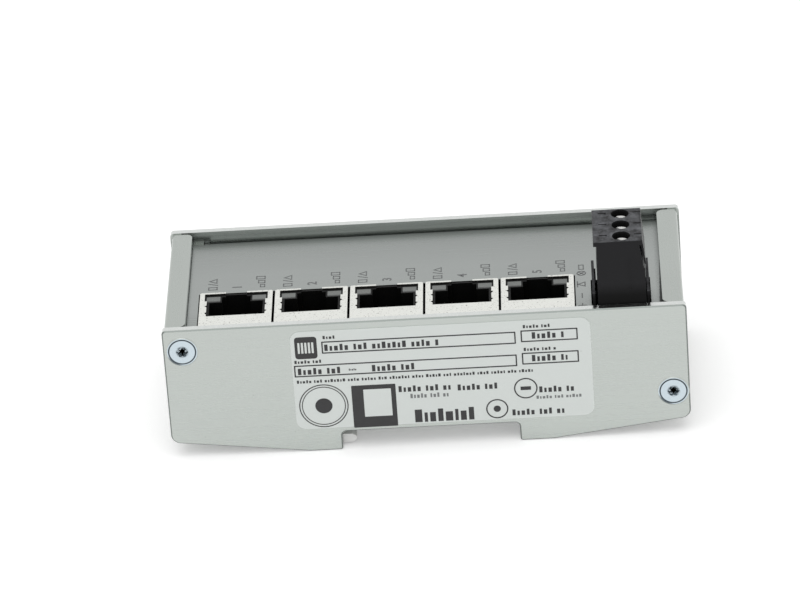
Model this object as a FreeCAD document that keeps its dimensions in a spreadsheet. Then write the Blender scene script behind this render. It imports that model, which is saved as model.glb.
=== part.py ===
"""A five-port network switch for a 35 mm mounting rail, as a parametric document.

Row frame: +X runs along the row of ports, from port 1 to the supply terminal. -Y is the side panel
with the label. +Z is the way the ports face. The origin is the middle of the feet that stand beside
the rail, so the feet are at Z = 0.
"""
import FreeCAD, Part

import math
import os
import re

import Sketcher

PORT_COUNT = 5
POLE_COUNT = 3
CONTACT_COUNT = 8

# Driving sizes in millimetres: name, value, what it is.
SIZES = [
    ("case_length", 115.0, "length of the side panels"),
    ("case_width", 46.8, "outside to outside of the side panels"),
    ("case_height", 32.2, "feet to the panels' port-side edges"),
    ("panel_sheet", 1.8, "side panel thickness"),
    ("end_rise", 3.8, "height of the panels' ends above the feet"),
    ("foot_reach", 27.0, "middle to the outer end of a foot's flat"),
    ("rail_gap", 39.3, "width of the notch for the rail"),
    ("rail_gap_depth", 4.6, "depth of the notch for the rail"),
    ("end_radius", 2.2, "panel corner at the rail side"),
    ("top_radius", 0.9, "panel corner at the port side"),
    ("gap_radius", 1.0, "inner corners of the rail notch"),
    ("foot_radius", 0.5, "corners of the feet"),
    ("panel_edge", 0.3, "broken outer edges of the panels"),
    ("end_overhang", 0.5, "how far the panels stand past the folded frame"),
    ("frame_sheet", 1.5, "sheet of the folded frame"),
    ("flange_width", 4.6, "front flange of the frame"),
    ("flange_drop", 0.2, "flange below the panels' edges"),
    ("flange_corner", 1.6, "rounded corners of the flange"),
    ("flange_end_gap", 0.3, "flange to side panel"),
    ("bend_inside", 0.6, "inside radius of the frame's rear bends"),
    ("flange_bend", 0.75, "outside radius of the front flanges' bends"),
    ("lug_reach", 5.5, "screw lug, from the end wall inwards"),
    ("lug_height", 6.6, "screw lug along Z"),
    ("shelf_reach", 4.0, "tab that carries the port plate"),
    ("shelf_width", 14.0, "width of that tab"),
    ("screw_end_left", 4.2, "case screw to the left end"),
    ("screw_top_left", 5.3, "case screw to the port-side edge, left"),
    ("screw_end_right", 3.65, "case screw to the right end"),
    ("screw_top_right", 21.5, "case screw to the port-side edge, right"),
    ("case_thread", 3.0, "case screw thread"),
    ("case_screw_length", 5.0, "case screw under its head"),
    ("case_head", 6.0, "case screw head diameter"),
    ("case_head_height", 1.6, "case screw head height"),
    ("thread_clearance", 0.1, "tapped hole over the thread"),
    ("screw_clearance", 0.4, "plain hole over the thread"),
    ("star_size", 2.7, "across the tips of the star socket"),
    ("star_root", 1.95, "across the roots of the star socket"),
    ("star_depth", 0.9, "depth of the star socket"),
    ("plate_drop", 2.3, "port plate below the panels' edges"),
    ("plate_sheet", 1.0, "port plate thickness"),
    ("plate_gap", 0.3, "port plate to its neighbours"),
    ("plate_leg", 5.0, "depth of the port plate's folded sides"),
    ("plate_bend", 0.6, "inside radius of the port plate's bends"),
    ("plate_leg_half", 48.5, "middle to the end of a folded side"),
    ("jack_gap", 0.55, "port to port"),
    ("jack_end", 7.725, "row of ports to the left end"),
    ("jack_side", 2.5, "ports to the near side panel"),
    ("jack_width", 16.15, "port across the row"),
    ("jack_depth", 15.6, "port along the case's width"),
    ("jack_height", 16.3, "port above the board"),
    ("jack_proud", 0.4, "port faces above the port plate"),
    ("shield_sheet", 0.3, "port shield sheet"),
    ("shield_gap", 0.05, "shield to its insert"),
    ("shield_corner", 0.5, "outer corners of the shield"),
    ("mouth_top", 0.6, "shield strip beside the latch slot"),
    ("mouth_upper_side", 1.075, "shield beside the mouth at the lamps"),
    ("mouth_lower_side", 1.575, "shield beside the mouth below them"),
    ("mouth_step", 3.75, "edge to the step of the mouth"),
    ("mouth_bottom", 10.55, "edge to the bottom of the mouth"),
    ("notch_reach", 0.45, "notches beside the spring tongues"),
    ("notch_first", 1.9, "lamp step of the mouth to the first notch"),
    ("notch_second", 5.0, "lamp step of the mouth to the second notch"),
    ("latch_slot_half", 2.35, "half width of the latch slot"),
    ("latch_notch_half", 3.2, "half width of the latch step"),
    ("latch_notch_edge", 1.6, "edge to the latch step"),
    ("slot_wall", 0.5, "wall of the insert past the latch slot"),
    ("socket_half", 5.95, "half width of the plug socket"),
    ("socket_edge", 4.0, "edge to the socket's upper side"),
    ("socket_bottom", 10.35, "edge to the socket's lower side"),
    ("socket_floor", 3.4, "floor of the socket above the board"),
    ("lamp_wall", 0.3, "latch step to the lamp"),
    ("lamp_side", 1.425, "lamp to the port's side"),
    ("lamp_edge", 1.2, "edge to the lamp"),
    ("lamp_bottom", 3.75, "edge to the lamp's lower side"),
    ("lamp_length", 3.0, "lamp lens along Z"),
    ("lamp_gap", 0.05, "lamp in its recess"),
    ("contact_pitch", 1.02, "contact to contact"),
    ("contact_width", 0.4, "contact wire width"),
    ("contact_sheet", 0.25, "contact wire thickness"),
    ("contact_reach", 1.85, "how far the contacts stand into the socket"),
    ("board_sheet", 1.6, "circuit board thickness"),
    ("board_end_gap", 1.5, "board to the end walls"),
    ("board_side_gap", 0.3, "board to the screw lugs"),
    ("board_corner", 2.0, "corners of the board"),
    ("post_inset", 3.6, "board posts to the board's ends and far side"),
    ("post_clear", 3.1, "near pair of posts past the ports"),
    ("post_flats", 5.5, "six-sided board post, across its flats"),
    ("post_stub", 4.9, "stub of the post in the frame"),
    ("post_fit", 0.05, "stub to its hole"),
    ("post_bore", 3.1, "bore of the post"),
    ("post_thread", 3.0, "board screw thread"),
    ("board_screw_length", 5.0, "board screw under its head"),
    ("board_screw_head", 5.4, "board screw head"),
    ("board_screw_head_height", 1.7, "board screw head height"),
    ("pole_pitch", 5.08, "supply pole to pole"),
    ("header_end", 14.05, "supply header's middle to the right end"),
    ("header_width", 12.55, "header across its walls"),
    ("header_gap", 0.12, "header to the near panel"),
    ("header_rise", 2.8, "header above the panels' edges"),
    ("header_wall", 0.6, "header side wall"),
    ("header_channel", 8.8, "depth of the header's channel"),
    ("header_floor", 2.2, "floor of the channel"),
    ("header_base_wall", 1.2, "wall of the header's hollow base"),
    ("header_rib", 0.3, "keying ribs in the channel"),
    ("pin_size", 1.0, "header pin"),
    ("pin_gap", 0.05, "header pin in its hole"),
    ("pin_rise", 6.8, "header pin above the channel's floor"),
    ("pin_tail", 1.5, "header pin below the board"),
    ("pin_offset", 0.6, "pins and terminal screws from the header's middle"),
    ("plug_rise", 15.5, "terminal plug above the panels' edges"),
    ("plug_seat_gap", 0.1, "terminal plug above the channel's floor"),
    ("plug_left", 5.1, "plug body left of the header's middle"),
    ("plug_right", 5.5, "plug body right of the header's middle"),
    ("plug_end_gap", 0.05, "plug shorter than its poles at each end"),
    ("plug_taper", 0.25, "lean of the plug's left face"),
    ("plug_lip", 0.75, "lip over the wire entries"),
    ("plug_lip_height", 1.1, "height of that lip"),
    ("plug_edge", 0.35, "rounding of the plug's top"),
    ("clip_top", 1.25, "top of the plug to the slot of its side clip"),
    ("clip_foot", 6.65, "top of the plug to the tip of its side clip"),
    ("clip_end", 1.4, "end of the plug to its side clip"),
    ("seam_offset", 1.95, "seam on the plug's top, left of the middle"),
    ("seam_step", 0.12, "step at that seam"),
    ("mark_depth", 0.2, "recesses on the plug's top and ends"),
    ("mark_far", 0.92, "recess past the pole's middle"),
    ("mark_length", 1.75, "recess along X"),
    ("mark_width", 0.32, "width of its line"),
    ("mark_hook", 0.95, "its hook along Y"),
    ("notch_far", 0.62, "right-hand notch past the pole's middle"),
    ("notch_width", 0.3, "right-hand notch along Y"),
    ("notch_length", 2.1, "right-hand notch along X"),
    ("end_groove_x", 2.1, "groove of the plug's ends, right of its middle"),
    ("end_groove", 0.6, "width of that groove"),
    ("terminal_hole", 3.95, "hole over a terminal screw"),
    ("terminal_sink", 1.35, "terminal screw below the plug's top"),
    ("terminal_head", 3.6, "terminal screw head"),
    ("terminal_head_height", 1.6, "terminal screw head height"),
    ("terminal_thread", 2.5, "terminal screw thread"),
    ("terminal_length", 4.8, "terminal screw under its head"),
    ("terminal_slot", 0.7, "width of the screw slot"),
    ("terminal_slot_depth", 0.85, "depth of the screw slot"),
    ("terminal_seat_gap", 0.1, "head above its seat"),
    ("terminal_bore", 2.9, "hole through the seat"),
    ("seat_sheet", 1.15, "thickness of the seat"),
    ("chamber_half", 2.1, "half of the clamp's chamber along Y"),
    ("chamber_left", 2.15, "chamber left of the screw"),
    ("chamber_right", 2.7, "chamber right of the screw"),
    ("clamp_half_x", 2.0, "clamp, half along X"),
    ("clamp_half_y", 1.95, "clamp, half along Y"),
    ("clamp_height", 6.0, "clamp height"),
    ("clamp_drop", 2.4, "open clamp below the chamber's top"),
    ("clamp_floor", 1.2, "bottom and top walls of the clamp"),
    ("clamp_window", 1.3, "half of the clamp's window"),
    ("clamp_running", 0.06, "clamp's thread over the screw"),
    ("entry_size", 3.9, "wire entry"),
    ("entry_rise", 0.3, "wire entry above the header's wall"),
    ("bar_sheet", 0.5, "contact bar in the clamp"),
    ("bar_width", 2.4, "width of the contact bar"),
    ("bar_gap", 0.1, "contact bar under the clamp's top wall"),
    ("leaf_sheet", 0.35, "leaves that grip a pin"),
    ("leaf_gap", 0.1, "leaf to pin"),
    ("hook_web", 19.8, "rail's edge stop on the fixed hook"),
    ("hook_reach", 3.2, "fixed hook under the rail"),
    ("hook_thick", 2.0, "fixed hook lip"),
    ("hook_bottom", 0.7, "hooks above the feet"),
    ("hook_plate", 1.6, "mounting plate of the fixed hook"),
    ("hook_length", 33.0, "middle to the hook plate's end"),
    ("hook_end_gap", 0.3, "fixed hook to the side panels"),
    ("latch_web", 15.8, "rail's other edge stop, on the latch"),
    ("latch_reach", 2.4, "latch under the rail"),
    ("latch_half", 7.4, "half width of the latch"),
    ("latch_sheet", 2.9, "latch slide thickness"),
    ("latch_gap", 0.2, "latch to its guide and to the frame"),
    ("latch_tail", 42.0, "middle to the latch's outer end"),
    ("latch_travel", 3.0, "latch travel"),
    ("guide_start", 20.2, "guide's inner end"),
    ("guide_end", 30.4, "guide's outer end"),
    ("guide_sheet", 0.8, "guide sheet"),
    ("guide_flange", 5.2, "guide flanges along Y"),
    ("spring_start", 20.8, "spring pocket's inner end"),
    ("spring_post", 28.4, "guide post that backs the spring"),
    ("spring_diameter", 2.6, "spring, outside"),
    ("spring_wire", 0.4, "spring wire"),
    ("spring_turns", 5, "spring turns"),
    ("rivet_shank", 3.0, "rivet shank"),
    ("rivet_hole", 3.1, "hole for a rivet"),
    ("rivet_head", 5.0, "rivet head"),
    ("rivet_head_height", 0.8, "rivet head height"),
    ("hook_rivet_x", 28.0, "hook rivets from the middle"),
    ("hook_rivet_y", 12.0, "hook rivets across"),
    ("guide_rivet_x", 25.3, "guide rivets from the middle"),
    ("label_end", 28.0, "label to the left end"),
    ("label_length", 65.8, "label along the case"),
    ("label_top", 1.8, "panel's edge to the label"),
    ("label_height", 24.6, "label height"),
    ("label_sheet", 0.15, "label thickness"),
    ("label_corner", 2.2, "label corners"),
    ("magnetic_length", 11.0, "port transformer along the row"),
    ("magnetic_depth", 9.0, "port transformer across the board"),
    ("magnetic_height", 5.4, "port transformer height"),
    ("magnetic_clear", 3.0, "port transformer past its port"),
    ("chip_size", 7.0, "switch chip"),
    ("chip_height", 0.9, "switch chip height"),
    ("chip_x", 14.0, "switch chip left of the middle"),
    ("crystal_length", 11.2, "crystal can's flange"),
    ("crystal_width", 4.6, "width of that flange"),
    ("crystal_height", 3.6, "crystal can height"),
    ("crystal_x", 2.0, "crystal left of the middle"),
    ("far_parts", 3.6, "middle of chip and crystal to the board's far side"),
    ("inductor_size", 8.0, "inductor base"),
    ("inductor_height", 4.5, "inductor height"),
    ("inductor_x", 4.95, "inductor left of the header's middle"),
    ("inductor_clear", 4.24, "inductor past the header"),
    ("converter_length", 4.9, "converter chip across the board"),
    ("converter_width", 3.9, "converter chip along the row"),
    ("converter_height", 1.5, "converter chip height"),
    ("converter_x", 1.45, "converter chip right of the header's middle"),
    ("can_size", 6.3, "capacitor diameter"),
    ("can_height", 7.7, "capacitor height"),
    ("can_gap", 1.1, "capacitor to capacitor"),
    ("can_end", 10.6, "middle of the last capacitor to the board's end"),
    ("can_far", 5.8, "middle of the capacitors to the board's far side"),
]

doc = FreeCAD.newDocument("rail_switch")
sheet = doc.addObject("Spreadsheet::Sheet", "Sizes")
for row, (alias, size, note) in enumerate(SIZES, 1):
    sheet.set(f"A{row}", alias)
    sheet.set(f"B{row}", str(size))
    sheet.set(f"C{row}", note)
    sheet.setAlias(f"B{row}", alias)
doc.recompute()
ALIASES = {alias for alias, _, _ in SIZES}

# Levels and places that several pieces share, as formulas of the sheet.
PANEL_IN = "(case_width / 2 - panel_sheet)"
WALL_OUT = "(case_length / 2 - end_overhang)"
WALL_IN = "(case_length / 2 - end_overhang - frame_sheet)"
REAR_TOP = "(rail_gap_depth + frame_sheet)"
FLANGE_TOP = "(case_height - flange_drop)"
PLATE_TOP = "(case_height - plate_drop)"
PLATE_BOTTOM = "(case_height - plate_drop - plate_sheet)"
BOARD_TOP = "(case_height - plate_drop + jack_proud - jack_height)"
BOARD_BOTTOM = f"({BOARD_TOP} - board_sheet)"
LEFT_SCREW = ("(-case_length / 2 + screw_end_left)", "(case_height - screw_top_left)")
RIGHT_SCREW = ("(case_length / 2 - screw_end_right)", "(case_height - screw_top_right)")
JACK_PITCH = "(jack_width + jack_gap)"
JACK_ROW_HALF = f"({PORT_COUNT / 2} * jack_width + {(PORT_COUNT - 1) / 2} * jack_gap)"
JACK_MIDDLE = f"(-case_length / 2 + jack_end + {JACK_ROW_HALF})"
JACK_NEAR = f"(-{PANEL_IN} + jack_side)"
JACK_FAR = f"({JACK_NEAR} + jack_depth)"
LAMP_INNER = "(latch_notch_half + lamp_wall)"
LAMP_OUTER = "(jack_width / 2 - lamp_side)"
BOARD_HALF_X = f"({WALL_IN} - board_end_gap)"
BOARD_HALF_Y = f"({PANEL_IN} - frame_sheet - board_side_gap)"
FAR_PARTS = f"({BOARD_HALF_Y} - far_parts)"
HEADER_X = "(case_length / 2 - header_end)"
POLE_ROW = f"({POLE_COUNT} * pole_pitch)"
POLE_MIDDLE = f"(-{PANEL_IN} + header_gap + {POLE_ROW} / 2)"
HEADER_FAR = f"(-{PANEL_IN} + header_gap + {POLE_ROW})"
POLE_FIRST = f"(-{(POLE_COUNT - 1) / 2} * pole_pitch)"
HEADER_HEIGHT = f"(case_height + header_rise - {BOARD_TOP})"
CHANNEL_FLOOR = f"({HEADER_HEIGHT} - header_channel)"
PLUG_HEIGHT = "(header_channel - header_rise + plug_rise - plug_seat_gap)"
HEAD_TOP = f"({PLUG_HEIGHT} - terminal_sink)"
SEAT_TOP = f"({HEAD_TOP} - terminal_head_height - terminal_seat_gap)"
CHAMBER_TOP = f"({SEAT_TOP} - seat_sheet)"
CLAMP_BOTTOM = f"({CHAMBER_TOP} - clamp_drop - clamp_height)"
BAR_TOP = f"({CLAMP_BOTTOM} + clamp_height - clamp_floor - bar_gap)"
ENTRY_BOTTOM = "(header_channel - plug_seat_gap + entry_rise)"
INSERT_TOP = "(jack_height - shield_sheet - shield_gap)"
LATCH_TOP = "(rail_gap_depth - latch_gap)"
SPRING_LEVEL = f"({LATCH_TOP} - latch_sheet / 2)"
POST_X = f"({BOARD_HALF_X} - post_inset)"
POST_NEAR = f"(max({HEADER_FAR}; {JACK_FAR}) + post_clear)"
POST_FAR = f"({BOARD_HALF_Y} - post_inset)"
POST_SPOTS = [(f"{side}{POST_X}", y) for side in ("-", "") for y in (POST_NEAR, POST_FAR)]
GUIDE_RIVET_Y = "(latch_half + latch_gap + guide_sheet + guide_flange / 2)"
HOOK_RIVETS = [("-hook_rivet_x", f"{side}hook_rivet_y") for side in ("-", "")]
GUIDE_RIVETS = [("guide_rivet_x", f"{side}{GUIDE_RIVET_Y}") for side in ("-", "")]


def bind(text):
    """Point every size name in a formula at its cell of the sheet."""
    return re.sub(r"[a-z][a-z_]+", lambda m: "Sizes." + m[0] if m[0] in ALIASES else m[0], str(text))


def number(text):
    """The present value of a formula."""
    return float(sheet.evalExpression(bind(text)))


def place(thing, at):
    for axis, formula in zip("xyz", at):
        thing.setExpression(f"Placement.Base.{axis}", bind(formula))


def new_body(label, at=("0", "0", "0")):
    body = doc.addObject("PartDesign::Body", label)
    body.Label = label
    place(body, at)
    return body


def origin_part(body, role):
    return next(item for item in body.Origin.OriginFeatures if item.Role == role)


def new_sketch(body, role, level, drawings):
    """A sketch on one of the body's origin planes, moved to a level along the plane's row axis."""
    sketch = body.newObject("Sketcher::SketchObject", body.Label + "_sketch")
    sketch.AttachmentSupport = (origin_part(body, role), [""])
    sketch.MapMode = "FlatFace"
    sign = "-" if role == "XZ_Plane" else ""
    sketch.setExpression("AttachmentOffset.Base.z", bind(f"{sign}({level})"))
    for draw in drawings:
        draw(sketch)
    return sketch


def pin_point(sketch, item, point, x, y):
    """Tie one point of a sketch to formulas."""
    for kind, formula in (("DistanceX", x), ("DistanceY", y)):
        index = sketch.addConstraint(Sketcher.Constraint(kind, -1, 1, item, point, number(formula)))
        name = f"{kind}_{item}"
        sketch.renameConstraint(index, name)
        sketch.setExpression(f"Constraints.{name}", bind(formula))


def polygon(points):
    """A closed outline through points given as formulas."""
    def draw(sketch):
        corners = [FreeCAD.Vector(number(x), number(y), 0) for x, y in points]
        first = sketch.GeometryCount
        for start, end in zip(corners, corners[1:] + corners[:1]):
            sketch.addGeometry(Part.LineSegment(start, end), False)
        for step, (x, y) in enumerate(points):
            following = first + (step + 1) % len(points)
            sketch.addConstraint(Sketcher.Constraint("Coincident", first + step, 2, following, 1))
            pin_point(sketch, first + step, 1, x, y)
    return draw


def rectangle(left, right, low, high):
    return polygon([(left, low), (right, low), (right, high), (left, high)])


def slot(end, side):
    """A long outline along X with cut corners, round the origin."""
    cut_x = f"({end} - 0.6 * {side})"
    cut_y = f"(0.4 * {side})"
    corners = [(end, cut_y), (cut_x, side)]
    corners += [(f"-{x}", y) for x, y in reversed(corners)]
    corners += [(x, f"-{y}") for x, y in reversed(corners)]
    return polygon(corners)


def circle(x, y, diameter):
    def draw(sketch):
        centre = FreeCAD.Vector(number(x), number(y), 0)
        ring = Part.Circle(centre, FreeCAD.Vector(0, 0, 1), number(diameter) / 2)
        item = sketch.addGeometry(ring, False)
        pin_point(sketch, item, 3, x, y)
        index = sketch.addConstraint(Sketcher.Constraint("Diameter", item, number(diameter)))
        sketch.renameConstraint(index, f"Diameter_{item}")
        sketch.setExpression(f"Constraints.Diameter_{item}", bind(diameter))
    return draw


def add(body, role, low, high, *drawings):
    """Pad the drawings from one level to a higher one."""
    sketch = new_sketch(body, role, low, drawings)
    pad = body.newObject("PartDesign::Pad", body.Label + "_pad")
    pad.Profile = sketch
    pad.Reversed = role == "XZ_Plane"
    pad.setExpression("Length", bind(f"({high}) - ({low})"))
    return pad


def cut(body, role, low, high, *drawings):
    """Pocket the drawings from one level to a higher one."""
    sketch = new_sketch(body, role, low, drawings)
    pocket = body.newObject("PartDesign::Pocket", body.Label + "_pocket")
    pocket.Profile = sketch
    pocket.Reversed = role != "XZ_Plane"
    pocket.setExpression("Length", bind(f"({high}) - ({low})"))
    return pocket


def turn(body, points, removes=False):
    """Turn a half profile, drawn in X and Z, about the body's Z axis."""
    sketch = new_sketch(body, "XZ_Plane", "0", [polygon(points)])
    kind = "PartDesign::Groove" if removes else "PartDesign::Revolution"
    turned = body.newObject(kind, body.Label + "_turned")
    turned.Profile = sketch
    turned.ReferenceAxis = (origin_part(body, "Z_Axis"), [""])
    turned.Angle = 360
    return turned


def repeat(body, feature, role, count, pitch):
    """Repeat a feature along one of the body's axes."""
    pattern = body.newObject("PartDesign::LinearPattern", body.Label + "_pattern")
    pattern.Originals = [feature]
    pattern.Direction = (origin_part(body, role), [""])
    pattern.Occurrences = count
    pattern.setExpression("Length", bind(f"{count - 1} * {pitch}"))
    body.Tip = pattern
    return pattern


def edges_at(axis, *spots):
    """A test for straight edges along an axis, at given places across it (None takes any)."""
    index = "xyz".index(axis)
    across = [i for i in range(3) if i != index]
    wanted = [[None if f is None else number(f) for f in spot] for spot in spots]

    def test(edge):
        if edge.Curve.TypeId != "Part::GeomLine":
            return False
        direction = edge.Curve.Direction
        if abs(abs(direction[index]) - 1) > 1e-6:
            return False
        middle = edge.CenterOfMass
        return any(
            all(w is None or abs(middle[i] - w) < 1e-4 for i, w in zip(across, spot)) for spot in wanted
        )
    return test


def dress(body, kind, size, *tests):
    """Round or chamfer the edges of a body that pass one of the tests."""
    doc.recompute()
    base = body.Tip
    names = [f"Edge{i}" for i, e in enumerate(base.Shape.Edges, 1) if any(t(e) for t in tests)]
    if not names:
        raise RuntimeError(f"{body.Label}: no edge to dress")
    dressed = body.newObject(f"PartDesign::{kind}", f"{body.Label}_{kind}")
    dressed.Base = (base, names)
    dressed.setExpression("Radius" if kind == "Fillet" else "Size", bind(size))
    return dressed


def group(label, members):
    """Put separate solids of one kind into one piece."""
    compound = doc.addObject("Part::Compound", label)
    compound.Label = label
    compound.Links = members
    return compound


# ---------------------------------------------------------------- side panels

def side_panel(label, outer_is_low):
    """A cut sheet panel: sloped ends, two feet and the notch that straddles the rail."""
    body = new_body(label)
    if outer_is_low:
        low, high, outer = "-case_width / 2", f"-{PANEL_IN}", "-case_width / 2"
    else:
        low, high, outer = PANEL_IN, "case_width / 2", "case_width / 2"
    half = "case_length / 2"
    outline = [
        (f"-{half}", "end_rise"), ("-foot_reach", "0"), ("-rail_gap / 2", "0"),
        ("-rail_gap / 2", "rail_gap_depth"), ("rail_gap / 2", "rail_gap_depth"),
        ("rail_gap / 2", "0"), ("foot_reach", "0"), (half, "end_rise"),
        (half, "case_height"), (f"-{half}", "case_height"),
    ]
    add(body, "XZ_Plane", low, high, polygon(outline))
    hole = "case_thread + screw_clearance"
    cut(body, "XZ_Plane", low, high, circle(*LEFT_SCREW, hole), circle(*RIGHT_SCREW, hole))
    dress(body, "Fillet", "end_radius", edges_at("y", (f"-{half}", "end_rise"), (half, "end_rise")))
    dress(body, "Fillet", "top_radius",
          edges_at("y", (f"-{half}", "case_height"), (half, "case_height")))
    dress(body, "Fillet", "gap_radius",
          edges_at("y", ("-rail_gap / 2", "rail_gap_depth"), ("rail_gap / 2", "rail_gap_depth")))
    dress(body, "Fillet", "foot_radius",
          edges_at("y", ("-rail_gap / 2", "0"), ("rail_gap / 2", "0")))
    level = number(outer)

    def outer_edge(edge):
        flat = abs(edge.BoundBox.YMin - level) + abs(edge.BoundBox.YMax - level) < 1e-4
        return flat and not edge.isClosed()

    dress(body, "Chamfer", "panel_edge", outer_edge)
    return body


# ---------------------------------------------------------------- folded frame

def housing_frame():
    """One folded sheet: rear wall, two end walls and their front flanges, lugs and shelf tabs."""
    body = new_body("housing_frame")
    inner_top = f"({FLANGE_TOP} - frame_sheet)"
    tip = f"({WALL_OUT} - flange_width)"
    outline = [
        (f"-{WALL_OUT}", "rail_gap_depth"), (WALL_OUT, "rail_gap_depth"), (WALL_OUT, FLANGE_TOP),
        (tip, FLANGE_TOP), (tip, inner_top), (WALL_IN, inner_top), (WALL_IN, REAR_TOP),
        (f"-{WALL_IN}", REAR_TOP), (f"-{WALL_IN}", inner_top), (f"-{tip}", inner_top),
        (f"-{tip}", FLANGE_TOP), (f"-{WALL_OUT}", FLANGE_TOP),
    ]
    add(body, "XZ_Plane", f"-{PANEL_IN}", PANEL_IN, polygon(outline))
    dress(body, "Fillet", "bend_inside + frame_sheet",
          edges_at("y", (f"-{WALL_OUT}", "rail_gap_depth"), (WALL_OUT, "rail_gap_depth")))
    dress(body, "Fillet", "flange_bend",
          edges_at("y", (f"-{WALL_OUT}", FLANGE_TOP), (WALL_OUT, FLANGE_TOP)))
    dress(body, "Fillet", "bend_inside",
          edges_at("y", (f"-{WALL_IN}", REAR_TOP), (WALL_IN, REAR_TOP)))
    dress(body, "Fillet", "flange_bend / 3",
          edges_at("y", (f"-{WALL_IN}", inner_top), (WALL_IN, inner_top)))
    relief = f"({WALL_IN} - bend_inside)"
    for side in ("-", ""):
        near, far = sorted((f"{side}{relief}", f"{side}{tip}"), key=number)
        for low, high in ((f"-{PANEL_IN}", f"-{PANEL_IN} + flange_end_gap"),
                          (f"{PANEL_IN} - flange_end_gap", PANEL_IN)):
            cut(body, "XY_Plane", inner_top, FLANGE_TOP, rectangle(near, far, low, high))
    dress(body, "Fillet", "flange_corner",
          edges_at("z", (tip, f"{PANEL_IN} - flange_end_gap"), (f"-{tip}", f"{PANEL_IN} - flange_end_gap"),
                   (tip, f"-{PANEL_IN} + flange_end_gap"), (f"-{tip}", f"-{PANEL_IN} + flange_end_gap")))
    lug_top = f"({PLATE_TOP} - plate_sheet / 2)"
    left = rectangle(f"-{WALL_IN}", f"-{WALL_IN} + lug_reach", f"{lug_top} - lug_height", lug_top)
    right = rectangle(f"{WALL_IN} - lug_reach", WALL_IN,
                      f"{RIGHT_SCREW[1]} - lug_height / 2", f"{RIGHT_SCREW[1]} + lug_height / 2")
    for low, high in ((f"-{PANEL_IN}", f"-{PANEL_IN} + frame_sheet"),
                      (f"{PANEL_IN} - frame_sheet", PANEL_IN)):
        add(body, "XZ_Plane", low, high, left, right)
    for low, high in ((f"-{WALL_IN}", f"-{WALL_IN} + shelf_reach"), (f"{WALL_IN} - shelf_reach", WALL_IN)):
        add(body, "XY_Plane", f"{PLATE_BOTTOM} - frame_sheet", PLATE_BOTTOM,
            rectangle(low, high, "-shelf_width / 2", "shelf_width / 2"))
    tapped = "case_thread + 2 * thread_clearance"
    cut(body, "XZ_Plane", f"-{PANEL_IN}", PANEL_IN, circle(*LEFT_SCREW, tapped), circle(*RIGHT_SCREW, tapped))
    posts = [hexagon(x, y, "post_stub + 2 * post_fit") for x, y in POST_SPOTS]
    rivets = [circle(x, y, "rivet_hole") for x, y in HOOK_RIVETS + GUIDE_RIVETS]
    cut(body, "XY_Plane", "rail_gap_depth", REAR_TOP, *posts, *rivets)
    return body


def port_plate():
    """The recessed plate: folded down along both sides, open round the ports and the header."""
    body = new_body("port_plate")
    edge = f"({PANEL_IN} - plate_gap)"
    half = f"({WALL_IN} - plate_gap)"
    foot = f"({PLATE_TOP} - plate_leg)"
    outline = [
        (f"-{edge}", foot), (f"-{edge} + plate_sheet", foot), (f"-{edge} + plate_sheet", PLATE_BOTTOM),
        (f"{edge} - plate_sheet", PLATE_BOTTOM), (f"{edge} - plate_sheet", foot), (edge, foot),
        (edge, PLATE_TOP), (f"-{edge}", PLATE_TOP),
    ]
    add(body, "YZ_Plane", f"-{half}", half, polygon(outline))
    dress(body, "Fillet", "plate_bend + plate_sheet",
          edges_at("x", (edge, PLATE_TOP), (f"-{edge}", PLATE_TOP)))
    dress(body, "Fillet", "plate_bend",
          edges_at("x", (f"{edge} - plate_sheet", PLATE_BOTTOM), (f"-{edge} + plate_sheet", PLATE_BOTTOM)))
    inner = f"({edge} - plate_sheet - plate_bend)"
    for side in ("-", ""):
        ends = sorted((f"{side}plate_leg_half", f"{side}{half}"), key=number)
        for low, high in ((f"-{edge}", f"-{inner}"), (inner, edge)):
            cut(body, "XY_Plane", foot, PLATE_TOP, rectangle(*ends, low, high))
    header_left = f"({HEADER_X} - header_width / 2 - plate_gap)"
    header_right = f"({HEADER_X} + header_width / 2 + plate_gap)"
    far_pole = f"({HEADER_FAR} + plate_gap)"
    cut(body, "XY_Plane", foot, PLATE_TOP, rectangle(header_left, header_right, f"-{edge}", far_pole))
    row_half = f"({PORT_COUNT / 2} * jack_width + {(PORT_COUNT - 1) / 2} * jack_gap + plate_gap)"
    cut(body, "XY_Plane", foot, PLATE_TOP,
        rectangle(f"{JACK_MIDDLE} - {row_half}", f"{JACK_MIDDLE} + {row_half}",
                  f"{JACK_NEAR} - plate_gap / 2", f"{JACK_FAR} + plate_gap / 2"))
    return body


def label_foil():
    body = new_body("label_foil")
    left = "-case_length / 2 + label_end"
    low = "case_height - label_top - label_height"
    add(body, "XZ_Plane", "-case_width / 2 - label_sheet", "-case_width / 2",
        rectangle(left, f"{left} + label_length", low, "case_height - label_top"))
    dress(body, "Fillet", "label_corner", edges_at("y", (None, None)))
    return body


# ---------------------------------------------------------------- fasteners

def case_screw(name, x, z, side):
    """A pan head screw with a six-lobed socket, turned about Z and then laid along Y."""
    body = new_body(name)
    turn(body, [
        ("0", "-case_screw_length"), ("case_thread / 2", "-case_screw_length"), ("case_thread / 2", "0"),
        ("case_head / 2", "0"), ("case_head / 2", "case_head_height * 0.5"),
        ("case_head / 2 - 0.6", "case_head_height"), ("0", "case_head_height"),
    ])
    lobes = []
    for step in range(12):
        angle = math.radians(30 * step + 7)
        size = "star_size" if step % 2 else "star_root"
        lobes.append((f"{size} / 2 * {math.cos(angle):.4f}", f"{size} / 2 * {math.sin(angle):.4f}"))
    cut(body, "XY_Plane", "case_head_height - star_depth", "case_head_height", polygon(lobes))
    axis = FreeCAD.Vector(1, 0, 0)
    body.Placement.Rotation = FreeCAD.Rotation(axis, 90 if side == "-" else -90)
    place(body, (x, f"{side}case_width / 2", z))
    return body


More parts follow.
